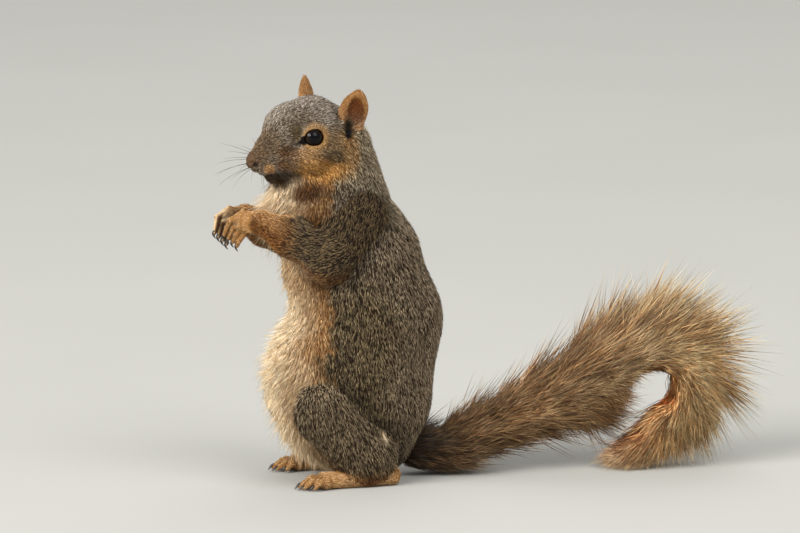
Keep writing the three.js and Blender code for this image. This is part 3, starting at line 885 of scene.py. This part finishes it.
planting = plantingTree()


def addAttribute(mesh, name, kind, field, values):
    values = np.asarray(values, np.float32)
    mesh.attributes.new(name, kind, "POINT").data.foreach_set(field, values.ravel())


def addColours(mesh, name, colours):
    opaque = np.ones((len(colours), 1))
    addAttribute(mesh, name, "FLOAT_COLOR", "color", np.concatenate([colours, opaque], axis=1))


def plantCoat(name, tuft, roots, material):
    mesh = bpy.data.meshes.new(name + "Roots")
    mesh.from_pydata(toFrame(roots["place"]).tolist(), [], [])
    for key in ("lie", "up", "size", "root"):
        addAttribute(mesh, key, "FLOAT_VECTOR", "vector", roots[key])
    for key in ("rootShade", "midShade", "tipShade"):
        addColours(mesh, key, roots[key])
    holder = bpy.data.objects.new(name + "Roots", mesh)
    bpy.context.scene.collection.objects.link(holder)
    modifier = holder.modifiers.new("planting", "NODES")
    modifier.node_group = planting
    values = {**plantingSettings, "Tuft": tuft, "Finish": material}
    for item in planting.interface.items_tree:
        if item.item_type == "SOCKET" and item.in_out == "INPUT" and item.name in values:
            modifier[item.identifier] = values[item.name]
    depsgraph = bpy.context.evaluated_depsgraph_get()
    coat = bpy.data.meshes.new_from_object(holder.evaluated_get(depsgraph), preserve_all_data_layers=True,
                                           depsgraph=depsgraph)
    coat.name = name
    bpy.data.objects.remove(holder)
    places = np.zeros(len(coat.vertices) * 3, np.float32)
    coat.vertices.foreach_get("co", places)
    places[2::3] = np.maximum(places[2::3], 0.1 * millimetre)   # hair that meets the ground lies on it
    coat.vertices.foreach_set("co", places)
    for key in ("lie", "up", "size", "root", "patch"):
        if key in coat.attributes:
            coat.attributes.remove(coat.attributes[key])
    piece = bpy.data.objects.new(name, coat)
    bpy.context.scene.collection.objects.link(piece)
    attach(piece, "root")
    coat.calc_loop_triangles()
    print(name, len(roots["place"]), "tufts", len(coat.loop_triangles), "triangles")


def hairColour(tree, lower, upper, band=None):
    # the root's, middle's and tip's shades along each hair, with a dark band over them if it has one
    shade = {name: addNode(tree, "ShaderNodeAttribute", {"attribute_name": name})
             for name in ("rootShade", "midShade", "tipShade", "along")}
    along = shade["along"].outputs["Fac"]
    lowerStep, upperStep = (addNode(tree, "ShaderNodeMapRange",
                                    {"From Min": low, "From Max": high, "interpolation_type": "SMOOTHSTEP"},
                                    {"Value": along}) for low, high in (lower, upper))
    colour = addNode(tree, "ShaderNodeMix", {"data_type": "RGBA"},
                     {0: lowerStep.outputs[0], 6: shade["rootShade"].outputs["Color"],
                      7: shade["midShade"].outputs["Color"]})
    if band:
        ramp = addNode(tree, "ShaderNodeValToRGB", {"stops": band}, {"Fac": along})
        colour = addNode(tree, "ShaderNodeMix", {"data_type": "RGBA", "blend_type": "MULTIPLY", 0: 1},
                         {6: colour.outputs[2], 7: ramp.outputs["Color"]})
    whole = addNode(tree, "ShaderNodeMix", {"data_type": "RGBA"},
                    {0: upperStep.outputs[0], 6: colour.outputs[2], 7: shade["tipShade"].outputs["Color"]})
    return whole.outputs[2]


def furMaterial():
    # guard hair of a fox squirrel: dry keratin, banded from root to tip, so it glints softly along each hair
    material, tree = newMaterial("banded guard hair")
    surface = addNode(tree, "ShaderNodeBsdfPrincipled",
                      {"Roughness": 0.55, "IOR": 1.55, "Specular IOR Level": 0.25},
                      {"Base Color": hairColour(tree, (0.1, 0.38), (0.62, 0.78))})
    addNode(tree, "ShaderNodeOutputMaterial", None, {"Surface": surface.outputs[0]})
    return material


def skinMaterial():
    # skin and the short dense underfur on it: matt, with hair-fine streaks; bare and damp on the nose
    material, tree = newMaterial("underfur and bare skin")
    shade = addNode(tree, "ShaderNodeAttribute", {"attribute_name": "marking"})
    bare = addNode(tree, "ShaderNodeAttribute", {"attribute_name": "bare"})
    place = addNode(tree, "ShaderNodeTexCoord")
    streaks = addNode(tree, "ShaderNodeTexNoise", {"Scale": 1 / (1.1 * millimetre), "Detail": 2},
                      {"Vector": place.outputs["Object"]})
    darker = addNode(tree, "ShaderNodeMapRange", {"To Min": 0.62, "To Max": 1.15},
                     {"Value": streaks.outputs["Fac"]})
    tone = addNode(tree, "ShaderNodeMix", {"data_type": "RGBA", "blend_type": "MULTIPLY", 0: 1},
                   {6: shade.outputs["Color"], 7: darker.outputs[0]})
    gloss = addNode(tree, "ShaderNodeMapRange", {"To Min": 0.8, "To Max": 0.55},
                    {"Value": bare.outputs["Fac"]})
    relief = addNode(tree, "ShaderNodeBump", {"Strength": 0.8, "Distance": 0.5 * millimetre},
                     {"Height": streaks.outputs["Fac"]})
    surface = addNode(tree, "ShaderNodeBsdfPrincipled", {"Specular IOR Level": 0.1},
                      {"Base Color": tone.outputs[2], "Roughness": gloss.outputs[0],
                       "Normal": relief.outputs[0]})
    addNode(tree, "ShaderNodeOutputMaterial", None, {"Surface": surface.outputs[0]})
    return material


def paintSkin(mesh, shades, bare):
    addColours(mesh, "marking", shades)
    addAttribute(mesh, "bare", "FLOAT", "value", bare)


# tufts per square millimetre, width in millimetres, lift off the skin in degrees
coatSettings = {
    "trunk": {"density": 2.0, "width": 0.38, "lift": 20},
    "leg": {"density": 2.1, "width": 0.37, "lift": 19},
    "arm": {"density": 2.0, "width": 0.4, "lift": 19},
    "head": {"density": 3.4, "width": 0.34, "lift": 20},
    "ear": {"density": 5, "width": 0.25, "lift": 14},
    "hand": {"density": 6, "width": 0.2, "lift": 9},
    "foot": {"density": 4, "width": 0.24, "lift": 11},
    "seed": 11,
}


def rootsOnSkin(points, quads):
    triangles, areas, normals = surfaceOf(points, quads)
    middles = points[triangles].mean(axis=1)
    owner, _, _ = bodyFields(middles)
    wanted = np.array([coatSettings[region["name"]]["density"] for region in regions])[owner] * areas
    draw = np.random.default_rng(coatSettings["seed"])
    total = np.cumsum(wanted)
    count = int(total[-1])
    chosen = np.searchsorted(total, (np.arange(count) + draw.random(count)) / count * total[-1])
    chosen = np.minimum(chosen, len(triangles) - 1)
    a, b = draw.random((2, count))
    a, b = np.where(a + b > 1, 1 - a, a), np.where(a + b > 1, 1 - b, b)
    shares = np.stack([1 - a - b, a, b], axis=1)
    place = (points[triangles[chosen]] * shares[:, :, None]).sum(axis=1)
    normal = unit((normals[triangles[chosen]] * shares[:, :, None]).sum(axis=1))
    return place, normal, draw


def growCoat(points, quads):
    place, normal, draw = rootsOnSkin(points, quads)
    owner, lie, hair = bodyFields(place)
    shades = coatMarkings(place, normal, owner)
    count = len(place)
    width, lift = (np.array([coatSettings[region["name"]][key] for region in regions])[owner]
                   for key in ("width", "lift"))
    # the belly's hair is long and loose, and stands out a little at its edge
    fullness = np.interp(place[:, 2], [90, 106, 145, 160, 178, 192], [1, 0.35, 0.4, 1.2, 1.1, 0.2])
    belly = regionMask(owner, "trunk") * smoothStep(0.25, 0.8, -normal[:, 1]) * fullness
    hair = hair * (1 + (0.5 + 0.6 * draw.random(count)) * belly)
    hair = hair * (0.4 + 0.6 * smoothStep(8, 15, fromEye(place)))   # so that none crosses an eye
    lie = lie + swirl(place, 26, 5) * (0.1 + 0.25 * belly)[:, None] + swirl(place, 7, 6) * 0.13
    lie = lie + draw.normal(size=(count, 3)) * (0.1 + 0.08 * belly)[:, None]
    flat = unit(lie - normal * (lie * normal).sum(axis=1, keepdims=True))
    wisp = draw.random(count) < 0.14 * belly
    hair = np.where(wisp, hair * 1.45, hair)
    lift = np.radians(lift) * draw.uniform(0.7, 1.35, count) * (1 + 0.4 * belly) * np.where(wisp, 1.7, 1)
    direction = flat * np.cos(lift)[:, None] + normal * np.sin(lift)[:, None]
    length = hair * draw.uniform(0.72, 1.2, count)
    mid, tip = bandHairs(place, flat, shades, draw)
    roots = {"place": place - normal * 0.25, "lie": direction, "up": normal,
             "size": np.stack([width, width, length], axis=1) * millimetre,
             "rootShade": shades[:, 0], "midShade": mid, "tipShade": tip}
    return roots, owner


def bandHairs(place, flat, shades, draw):
    # some hairs have a light band and a dark tip, some a light tip, and the rest are dark
    dark, middle, light = (shades[:, index] for index in (1, 2, 3))
    grain = place - flat * (place * flat).sum(axis=1, keepdims=True) * 0.84   # drawn out along the hair
    pick = (draw.random(len(place)) + swirl(grain, 1.5, 8)[:, 0] * 0.08)[:, None]
    banded, pale = pick < 0.22, pick > 0.72
    mid = np.where(pale, middle * 0.6 + light * 0.4, dark * 0.6 + middle * 0.4)
    mid = np.where(banded, light * 0.6 + middle * 0.4, mid)
    tip = np.where(banded, dark, np.where(pale, light, dark * 0.45 + middle * 0.55))
    vary = draw.uniform(0.68, 1.26, (len(place), 1)) * (1 + 0.13 * swirl(grain, 5, 9)[:, :1])
    return mid * vary, tip * vary


def take(roots, chosen):
    return {key: value[chosen] for key, value in roots.items()}


def unwrapRound(points, axisStart, axisEnd, forward, column=0, columns=1):
    # unrolls the skin round an axis of its own: angle across, place along the axis upwards
    axisStart, axisEnd, forward = (np.array(value, float) for value in (axisStart, axisEnd, forward))
    axis = (axisEnd - axisStart) / np.linalg.norm(axisEnd - axisStart)
    forward = forward - axis * (forward @ axis)
    forward /= np.linalg.norm(forward)
    away = points - axisStart
    angle = np.arctan2(away @ np.cross(axis, forward), away @ forward) / (2 * math.pi) + 0.5
    height = away @ axis
    height = (height - height.min()) / max(np.ptp(height), 1e-6)
    across = (column + 0.02 + angle * 0.96) / columns
    return np.stack([across, 0.02 + height * 0.96, 0 * height], axis=1)


def bareParts(points, owner):
    # 1 where no tuft grows: nose, rims and corners of the eyes, openings of the ears
    head = regionMask(owner, "head")
    nose = head * patch(points, headFrame, (0, -35.6, -14.8), (5, 4.8, 4.6), 0.12)
    rim = head * (1 - smoothStep(7.4, 7.9, fromEye(points)))
    corner = head * frontCorner(points)
    opening = sum(earOpening(moved(np.linalg.inv(earFrames[name]), points)) for name in sides)
    return np.max([nose, rim, corner, regionMask(owner, "head", "trunk") * opening], axis=0)


def dressBody(points, quads, material):
    roots, owner = growCoat(points, quads)
    kept = (bareParts(roots["place"], owner) < 0.5) & (roots["place"][:, 2] > 1.2)
    roots, owner = take(roots, kept), owner[kept]
    tuft = tuftShape("tuft", [(0.38, 0.5)], 0.5, 0.5)
    x, y, z = roots["place"].T
    angle = np.degrees(np.arctan2(x, trunkAxis(z) - y))
    aside = np.abs(angle)
    trunk, head = regionMask(owner, "trunk"), regionMask(owner, "head")
    face = moved(np.linalg.inv(headFrame), roots["place"])[:, 1] < -4
    spine = [(0, 0, 20), (0, 0, 210)]
    skull = moved(headFrame, [(0, -36, -14), (0, 40, -8)])
    # the roots, the slot, and the axis and middle that the piece's map is unrolled round
    parts = {
        "bellyCoat": (trunk & (aside < 55), "buff_coat", *spine, (0, -1, 0)),
        "leftFlankCoat": (trunk & (angle >= 55) & (angle < 125), "grey_coat", *spine, (1, 0, 0)),
        "rightFlankCoat": (trunk & (angle <= -55) & (angle > -125), "grey_coat", *spine, (-1, 0, 0)),
        "backCoat": (trunk & (aside >= 125), "grey_coat", *spine, (0, 1, 0)),
        "faceCoat": (head & face, "grey_coat", *skull, (0, 0, 1)),
        "crownCoat": (head & ~face, "grey_coat", *skull, (0, 0, 1)),
    }
    for name, (chosen, slot, low, high, forward) in parts.items():
        some = take(roots, chosen)
        some["root"] = unwrapRound(some["place"], low, high, forward)
        plantCoat(name, tuft, some, material)
    limbs = {
        "legCoat": ("leg", "grey_coat", lambda side: (hindLeg(side)["knee"], hindLeg(side)["hock"])),
        "footCoat": ("foot", "buff_coat", lambda side: (hindLeg(side)["heel"], hindLeg(side)["ball"])),
        "armCoat": ("arm", "buff_coat", lambda side: (foreLeg(side)["shoulder"], foreLeg(side)["wrist"])),
        "handCoat": ("hand", "buff_coat", lambda side: (foreLeg(side)["wrist"], foreLeg(side)["knuckles"])),
        "earCoat": ("ear", "rust_coat", lambda side: moved(earFrames[side], [(0, 0, 0), (0, 0, 25)])),
    }
    for name, (limb, slot, axis) in limbs.items():
        halves = []
        for column, side in enumerate(sides):
            own = [index for index, region in enumerate(regions)
                   if region["name"] == limb and region["side"] == side]
            some = take(roots, np.isin(owner, own))
            some["root"] = unwrapRound(some["place"], *axis(side), (0.3, -1, 0.4), column, 2)
            halves.append(some)
        both = {key: np.concatenate([half[key] for half in halves]) for key in halves[0]}
        plantCoat(name, tuft, both, material)


# Eyes
eyeSettings = {"radius": eyeRadius, "cornea": 0.35, "segments": 48, "rings": 32}


def eyeMaterial():
    # a wet dark eye: almost black with a trace of brown iris under a clear polished cornea
    material, tree = newMaterial("wet dark eye")
    iris = addNode(tree, "ShaderNodeAttribute", {"attribute_name": "iris"})   # 0 ahead, 1 at its edge
    stops = [(0, rgba("#040304")), (0.55, rgba("#060405")), (0.75, rgba("#1d120b")), (1, rgba("#0b0706"))]
    ramp = addNode(tree, "ShaderNodeValToRGB", {"stops": stops}, {"Fac": iris.outputs["Fac"]})
    surface = addNode(tree, "ShaderNodeBsdfPrincipled",
                      {"Roughness": 0.03, "IOR": 1.4, "Specular IOR Level": 0.22},
                      {"Base Color": ramp.outputs["Color"]})
    addNode(tree, "ShaderNodeOutputMaterial", None, {"Surface": surface.outputs[0]})
    return material


def buildEyes():
    # rings round the way it looks, from the back of the ball to its front, then the two ends
    rings, segments = eyeSettings["rings"], eyeSettings["segments"]
    around = np.arange(segments) * 2 * math.pi / segments
    fromFront = math.pi * (1 - np.arange(1, rings) / rings)[:, None]
    own = np.stack([np.cos(fromFront) + 0 * around, np.sin(fromFront) * np.cos(around),
                    np.sin(fromFront) * np.sin(around)], axis=2).reshape(-1, 3)
    own = np.concatenate([own, [(-1, 0, 0), (1, 0, 0)]])
    outward = own[:, 0]
    radius = eyeSettings["radius"] + eyeSettings["cornea"] * smoothStep(0.55, 1, outward)
    iris = np.sqrt(np.clip(1 - outward ** 2, 0, 1)) * (outward > 0) + (outward <= 0)
    points, faces = [], []
    for name in sides:
        start = len(points)
        points += list(moved(eyeFrame(name), own * radius[:, None]))
        order = [[corner + start for corner in face] for face in tubeFaces(rings - 1, segments)]
        faces += order if sides[name] > 0 else [face[::-1] for face in order]
    eyes = meshObject("eyes", toFrame(np.array(points)), faces, eyeMaterial())
    addAttribute(eyes.data, "iris", "FLOAT", "value", np.tile(iris, len(sides)))
    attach(eyes, "root")
    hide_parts("eye_left", "eye_right")


# The tail is a thin core along the bone, and long banded hair fanned out from it.
# Along the bone: its place, and how far the hair reaches to its outer and inner side and sideways
tailStations = np.array([
    (0, 24, 17, 14, 16, 15), (0, 38, 16, 15.5, 16, 16), (0, 52, 16, 17, 15.5, 17),
    (0, 71, 22, 20, 16, 17.5), (0, 93, 30.5, 24, 21, 18), (0, 115, 39, 28, 30, 19),
    (0, 135, 47, 37, 43, 20), (0, 154, 55, 50, 31, 21), (1, 168, 61, 58, 8.5, 21),
    (2, 182, 65.5, 59, 6.5, 21), (3, 194, 66.5, 56, 5.5, 21), (4, 203, 62.5, 54, 5.5, 21),
    (5, 206.5, 54, 45, 6, 21), (6, 205, 45, 36, 6.5, 20), (7, 200, 35.5, 31, 7, 19),
    (8, 192.5, 26.5, 25, 7.5, 17), (9, 184, 18.5, 18, 7.5, 14), (10, 176, 12, 12, 6, 10),
    (10.5, 168, 8.5, 8.5, 4.5, 7)], float)
tailSettings = {
    "coreRadii": (7.5, 5, 3.6, 2.2),   # evenly along the bone
    "coreRings": 110,
    "coreSides": 16,
    "locks": 74000,
    "width": 0.52,
    "seed": 23,
    # share of the bone: degrees between the hair and the bone, on its outer side
    "lean": [(0, 24), (0.3, 30), (0.45, 42), (0.58, 62), (0.7, 60), (0.82, 52), (0.92, 36), (1, 16)],
    "innerLean": [(0, 20), (0.2, 26), (0.28, 42), (0.34, 62), (0.4, 82), (0.45, 70), (0.5, 26), (0.62, 18),
                  (1, 14)],
    "cuts": (0, 0.36, 0.52, 0.68, 1),   # shares of the bone where one piece of hair ends and the next begins
}


def boneAt(share):
    # a smooth curve through the stations, with its direction and the reaches there
    scaled = np.clip(share, 0, 1) * (len(tailStations) - 1)
    index = np.minimum(scaled.astype(int), len(tailStations) - 2)
    t = (scaled - index)[:, None]
    last = len(tailStations) - 1
    before, start, end, after = (tailStations[np.clip(index + step, 0, last)] for step in (-1, 0, 1, 2))
    before = np.where((index == 0)[:, None], 2 * start - end, before)
    after = np.where((index == last - 1)[:, None], 2 * end - start, after)
    place = 0.5 * (2 * start + (end - before) * t + (2 * before - 5 * start + 4 * end - after) * t ** 2
                   + (3 * start - before - 3 * end + after) * t ** 3)
    along = 0.5 * ((end - before) + 2 * (2 * before - 5 * start + 4 * end - after) * t
                   + 3 * (3 * start - before - 3 * end + after) * t ** 2)
    reaches = start[:, 3:] * (1 - t) + end[:, 3:] * t
    along = unit(along[:, :3])
    outward = unit(np.stack([0 * along[:, 0], -along[:, 2], along[:, 1]], axis=1))
    return place[:, :3], along, outward, np.cross(along, outward), reaches


def coreRadius(share):
    return np.interp(share, np.linspace(0, 1, len(tailSettings["coreRadii"])), tailSettings["coreRadii"])


# Colours at shares of the bone: dark above its root and tawny further on, rust on the inner side of the curl
tailColours = {
    "root": [(0, "#20170d"), (0.22, "#5c4129"), (0.6, "#946639"), (0.8, "#8f5c33"), (1, "#70513a")],
    "mid": [(0, "#2f2314"), (0.22, "#a87f52"), (0.42, "#b58d5f"), (0.6, "#e4ba80"), (0.8, "#e4b172"),
            (1, "#c2986f")],
    "tip": [(0, "#453620"), (0.22, "#d6b482"), (0.42, "#d4ba8c"), (0.6, "#ecd6a4"), (0.8, "#fae0a8"),
            (1, "#e2c6a2")],
    "innerRoot": [(0, "#3b2816"), (0.3, "#6f4c2b"), (0.6, "#8a5226"), (0.75, "#9a4f1e"), (1, "#7a5138")],
    "innerMid": [(0, "#553f28"), (0.3, "#a27d52"), (0.6, "#b5763a"), (0.75, "#c06a2a"), (1, "#a37350")],
    "innerTip": [(0, "#8d7250"), (0.3, "#caa777"), (0.6, "#cf9a5e"), (0.75, "#d68b45"), (1, "#c9a07c")],
}


def tailColour(name, share):
    places, colours = zip(*tailColours[name])
    colours = np.array([linear(colour) for colour in colours])
    return np.stack([np.interp(share, places, colours[:, channel]) for channel in range(3)], axis=1)


def tailShades(share, angle):
    inner = smoothStep(0.1, 0.9, -np.cos(angle))[:, None]
    shades = {}
    for name in ("root", "mid", "tip"):
        shades[name] = tailColour(name, share) * (1 - inner)
        shades[name] += tailColour("inner" + name.capitalize(), share) * inner
    return shades


def buildTailCore(material):
    rings, count = tailSettings["coreRings"], tailSettings["coreSides"]
    share = np.linspace(0, 1, rings)
    place, along, outward, aside, _ = boneAt(share)
    angle = np.arange(count) / count * 2 * math.pi
    around = outward[:, None] * np.cos(angle)[None, :, None] + aside[:, None] * np.sin(angle)[None, :, None]
    points = (place[:, None] + around * coreRadius(share)[:, None, None]).reshape(-1, 3)
    points = np.concatenate([points, place[:1] - along[:1] * 2, place[-1:] + along[-1:] * 2])
    points[:, 2] = np.maximum(points[:, 2], 0.2)
    core = meshObject("tailSkin", toFrame(points), tubeFaces(rings, count), material)
    shares = np.append(np.repeat(share, count), [0, 1])
    angles = np.append(np.tile(angle, rings), [0, 0])
    shades = tailShades(shares, angles)
    # the tail's skin is its root shade darkened: the underfur's own tone, with painted shade from the hair
    # over it
    paintSkin(core.data, shades["root"] * 0.8, np.zeros(len(points)))
    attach(core, "root")
    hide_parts(*[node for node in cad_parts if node.startswith("tail")])


def growTail():
    draw = np.random.default_rng(tailSettings["seed"])
    count = tailSettings["locks"]
    # more hair where the brush is wide, and round the outside of its bend
    trial = np.linspace(0, 1, 400)
    _, _, _, _, reaches = boneAt(trial)
    fullness = 1 + 0.5 * np.exp(-((trial - 0.67) / 0.07) ** 2)
    weight = np.cumsum((reaches[:, 0] + reaches[:, 1] + 8) * fullness)
    share = np.interp((np.arange(count) + draw.random(count)) / count * weight[-1], weight, trial)
    angle = draw.uniform(-math.pi, math.pi, count)
    place, along, outward, aside, reaches = boneAt(share)
    radial = outward * np.cos(angle)[:, None] + aside * np.sin(angle)[:, None]
    side = np.cross(along, radial)
    front = np.where(np.cos(angle) > 0, reaches[:, 0], reaches[:, 1])
    reach = 1 / np.sqrt((np.cos(angle) / front) ** 2 + (np.sin(angle) / reaches[:, 2]) ** 2)
    lean, innerLean = (np.interp(share, *zip(*tailSettings[key])) for key in ("lean", "innerLean"))
    outer = smoothStep(-0.6, 0.6, np.cos(angle))
    lean = np.radians(innerLean * (1 - outer) + lean * outer)
    lean *= draw.uniform(0.75, 1.2, count)
    core = coreRadius(share)
    length = (reach - core * 0.7) / np.sin(np.clip(lean, 0.25, 1.4))
    length = np.minimum(np.clip(length, 5, 62), np.interp(share, [0, 0.86, 1], [62, 56, 12]))
    longest = draw.random(count) < 0.07
    length *= np.where(longest, 1.14, draw.choice([1, 0.82, 0.6, 0.4], count, p=[0.28, 0.32, 0.23, 0.17]))
    length *= draw.uniform(0.85, 1.1, count)
    direction = along * np.cos(lean)[:, None] + radial * np.sin(lean)[:, None]
    direction = direction + swirl(place + radial * 12, 9, 31) * 0.24 + draw.normal(size=(count, 3)) * 0.11
    direction = unit(direction)
    root = place + radial * (core * 0.9)[:, None]
    low = root[:, 2] + direction[:, 2] * length < 1.5   # hair that would go into the ground lies along it
    direction[low, 2] = (1.5 - root[low, 2]) / length[low]
    direction = unit(direction)
    up = unit(radial + side * draw.normal(size=(count, 1)) * 0.5)
    shades = tailShades(share, angle)
    vary = draw.uniform(0.35, 1.7, (count, 1)) * (1 + 0.4 * swirl(place + radial * 14, 6, 32)[:, :1])
    width = tailSettings["width"] * draw.uniform(0.7, 1.25, count) * np.where(longest, 0.6, 1)
    unwrap = np.stack([0.02 + (angle / (2 * math.pi) + 0.5) * 0.96, share, 0 * share], axis=1)
    locks = {"place": root, "lie": direction, "up": up, "root": unwrap,
             "size": np.stack([width, length, length], axis=1) * millimetre}
    for name in ("root", "mid", "tip"):
        locks[name + "Shade"] = shades[name] * vary
    return locks, share


def tailMaterial():
    # tail hair of a fox squirrel: long glossy hair, tawny with a dark band before its pale tip
    material, tree = newMaterial("banded tail hair")
    plain, dark = rgba("#ffffff"), rgba("#a29386")
    band = [(0.45, plain), (0.56, dark), (0.68, dark), (0.8, plain)]
    surface = addNode(tree, "ShaderNodeBsdfPrincipled",
                      {"Roughness": 0.5, "IOR": 1.55, "Specular IOR Level": 0.3},
                      {"Base Color": hairColour(tree, (0.05, 0.35), (0.74, 0.9), band)})
    addNode(tree, "ShaderNodeOutputMaterial", None, {"Surface": surface.outputs[0]})
    return material


def dressTail():
    roots, share = growTail()
    lock = tuftShape("lock", [(0.42, 0.5)], 0.008, 0.1)
    material = tailMaterial()
    cuts = tailSettings["cuts"]
    for index, (low, high) in enumerate(zip(cuts, cuts[1:])):
        some = take(roots, (share >= low) & ((share < high) | (high == cuts[-1])))
        some["root"][:, 1] = 0.02 + (some["root"][:, 1] - low) / (high - low) * 0.96
        plantCoat(f"tailHair{index + 1}", lock, some, material)


# Claws and whiskers
def taperedTube(path, radii, sides):
    # a closed round tube along a path, ending in points
    path = np.array(path, float)
    ahead = unit(np.gradient(path, axis=0))
    across = unit(np.cross(ahead, (0.31, 0.2, 0.93)))
    other = np.cross(ahead, across)
    angle = np.arange(sides) / sides * 2 * math.pi
    around = across[:, None] * np.cos(angle)[None, :, None] + other[:, None] * np.sin(angle)[None, :, None]
    rings = path[:, None] + around * np.array(radii)[:, None, None]
    points = np.concatenate([rings.reshape(-1, 3), path[:1], path[-1:] + ahead[-1:] * radii[-1]])
    return points, tubeFaces(len(path), sides)


def joined(shapes):
    points, faces = [], []
    for own, order in shapes:
        start = sum(len(part) for part in points)
        points.append(own)
        faces += [tuple(index + start for index in face) for face in order]
    return np.concatenate(points), faces


clawSettings = {"length": 3.8, "radius": 0.95, "hook": 1.3, "sides": 8, "rings": 7}


def clawShape(start, end, bend):
    # curved like a hook: it sets out along the digit and turns down towards its point
    start, end, bend = (np.array(value, float) for value in (start, end, bend))
    share = np.linspace(0, 1, clawSettings["rings"])[:, None]
    path = start + (end - start) * share + bend * clawSettings["hook"] * 4 * share * (1 - share)
    radii = clawSettings["radius"] * (1 - share[:, 0]) ** 0.7 + 0.12
    return taperedTube(path, radii, clawSettings["sides"])


def hornMaterial():
    # keratin claw: dark horn, smooth and slightly translucent towards the point, so it catches a narrow glint
    material, tree = newMaterial("dark horn")
    place = addNode(tree, "ShaderNodeTexCoord")
    grain = addNode(tree, "ShaderNodeTexNoise", {"Scale": 1 / (0.7 * millimetre), "Detail": 2},
                    {"Vector": place.outputs["Object"]})
    tone = addNode(tree, "ShaderNodeMix", {"data_type": "RGBA", 6: rgba("#17110d"), 7: rgba("#3a2d22")},
                   {0: grain.outputs["Fac"]})
    surface = addNode(tree, "ShaderNodeBsdfPrincipled", {"Roughness": 0.3, "IOR": 1.55},
                      {"Base Color": tone.outputs[2]})
    addNode(tree, "ShaderNodeOutputMaterial", None, {"Surface": surface.outputs[0]})
    return material


def buildClaws():
    shapes = []
    for name, sign in sides.items():
        for index in range(4):
            end = np.array(fingerPoints(name, index)[2])
            tip = end + (-0.6 * sign, 0.8, -clawSettings["length"])
            shapes.append(clawShape(end + (0, 0, 0.8), tip, (0, -1, 0.2)))
        for index in range(5):
            end = np.array(toePoints(name, index)[2])
            tip = end + (0.04 * toeSpread[index][0] * sign, -clawSettings["length"], -1.9)
            shapes.append(clawShape(end + (0, 0.6, 0.2), tip, (0, 0, 1)))
    points, faces = joined(shapes)
    points[:, 2] = np.maximum(points[:, 2], 0.1)
    claws = meshObject("claws", toFrame(points), faces, hornMaterial())
    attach(claws, "root")


whiskerSettings = {"rows": 4, "perRow": 4, "length": 46, "radius": 0.16, "sides": 5, "rings": 14, "seed": 5}


def whiskerMaterial():
    # vibrissae: stiff black hair with a soft shine
    material, tree = newMaterial("stiff black whisker")
    place = addNode(tree, "ShaderNodeTexCoord")
    fleck = addNode(tree, "ShaderNodeTexNoise", {"Scale": 1 / (2.5 * millimetre)},
                    {"Vector": place.outputs["Object"]})
    tone = addNode(tree, "ShaderNodeMix", {"data_type": "RGBA", 6: rgba("#0f0c0a"), 7: rgba("#2b231c")},
                   {0: fleck.outputs["Fac"]})
    surface = addNode(tree, "ShaderNodeBsdfPrincipled", {"Roughness": 0.4}, {"Base Color": tone.outputs[2]})
    addNode(tree, "ShaderNodeOutputMaterial", None, {"Surface": surface.outputs[0]})
    return material


def buildWhiskers():
    draw = np.random.default_rng(whiskerSettings["seed"])
    shapes = []
    share = np.linspace(0, 1, whiskerSettings["rings"])[:, None]
    radii = whiskerSettings["radius"] * (1 - share[:, 0] * 0.82)
    for sign in sides.values():
        mirror = headFrame @ np.diag([sign, 1, 1, 1])
        for row in range(whiskerSettings["rows"]):
            for index in range(whiskerSettings["perRow"]):
                root = np.array([5.2 + index * 1.1, -27.5 + index * 2.6, -13.5 - row * 2.1])
                length = whiskerSettings["length"] * draw.uniform(0.6, 1) * (0.75 + 0.1 * index)
                away = unit(np.array([[0.8 + 0.1 * index, -0.75 + 0.33 * index, 0.22 - 0.2 * row]])
                            + draw.normal(size=(1, 3)) * 0.05)[0]
                droop = np.array([0.0, 0.22, -0.16]) * length
                path = root + away * length * share + droop * share ** 2
                shapes.append(taperedTube(moved(mirror, path), radii, whiskerSettings["sides"]))
    points, faces = joined(shapes)
    whiskers = meshObject("whiskers", toFrame(points), faces, whiskerMaterial())
    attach(whiskers, "root")


placeCamera()
buildStudio()
print("studio ready")
field, lines = buildField()
skinPoints, skinQuads = largestShell(*meshField(field, lines))
print("skin meshed", len(skinPoints), "points", len(skinQuads), "quads")

_, _, skinNormals = surfaceOf(skinPoints, skinQuads)
skinOwner, _, _ = bodyFields(skinPoints)
skinShades = coatMarkings(skinPoints, skinNormals, skinOwner)
skinBare = bareParts(skinPoints, skinOwner)
skin = meshObject("skin", toFrame(skinPoints), skinQuads, skinMaterial())
# darker where the coat covers it: the underfur's own darker tone, with painted shade from the hair over it
skinColour = skinShades[:, 1] * 0.7 + skinShades[:, 2] * 0.3
paintSkin(skin.data, skinColour * (0.8 + 0.2 * skinBare[:, None]), skinBare)
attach(skin, "root")
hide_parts(*[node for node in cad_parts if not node.startswith(("tail", "eye"))])
print("skin painted")
buildEyes()
buildClaws()
buildWhiskers()
print("eyes, claws and whiskers made")
dressBody(skinPoints, skinQuads, furMaterial())
buildTailCore(skin.data.materials[0])
dressTail()
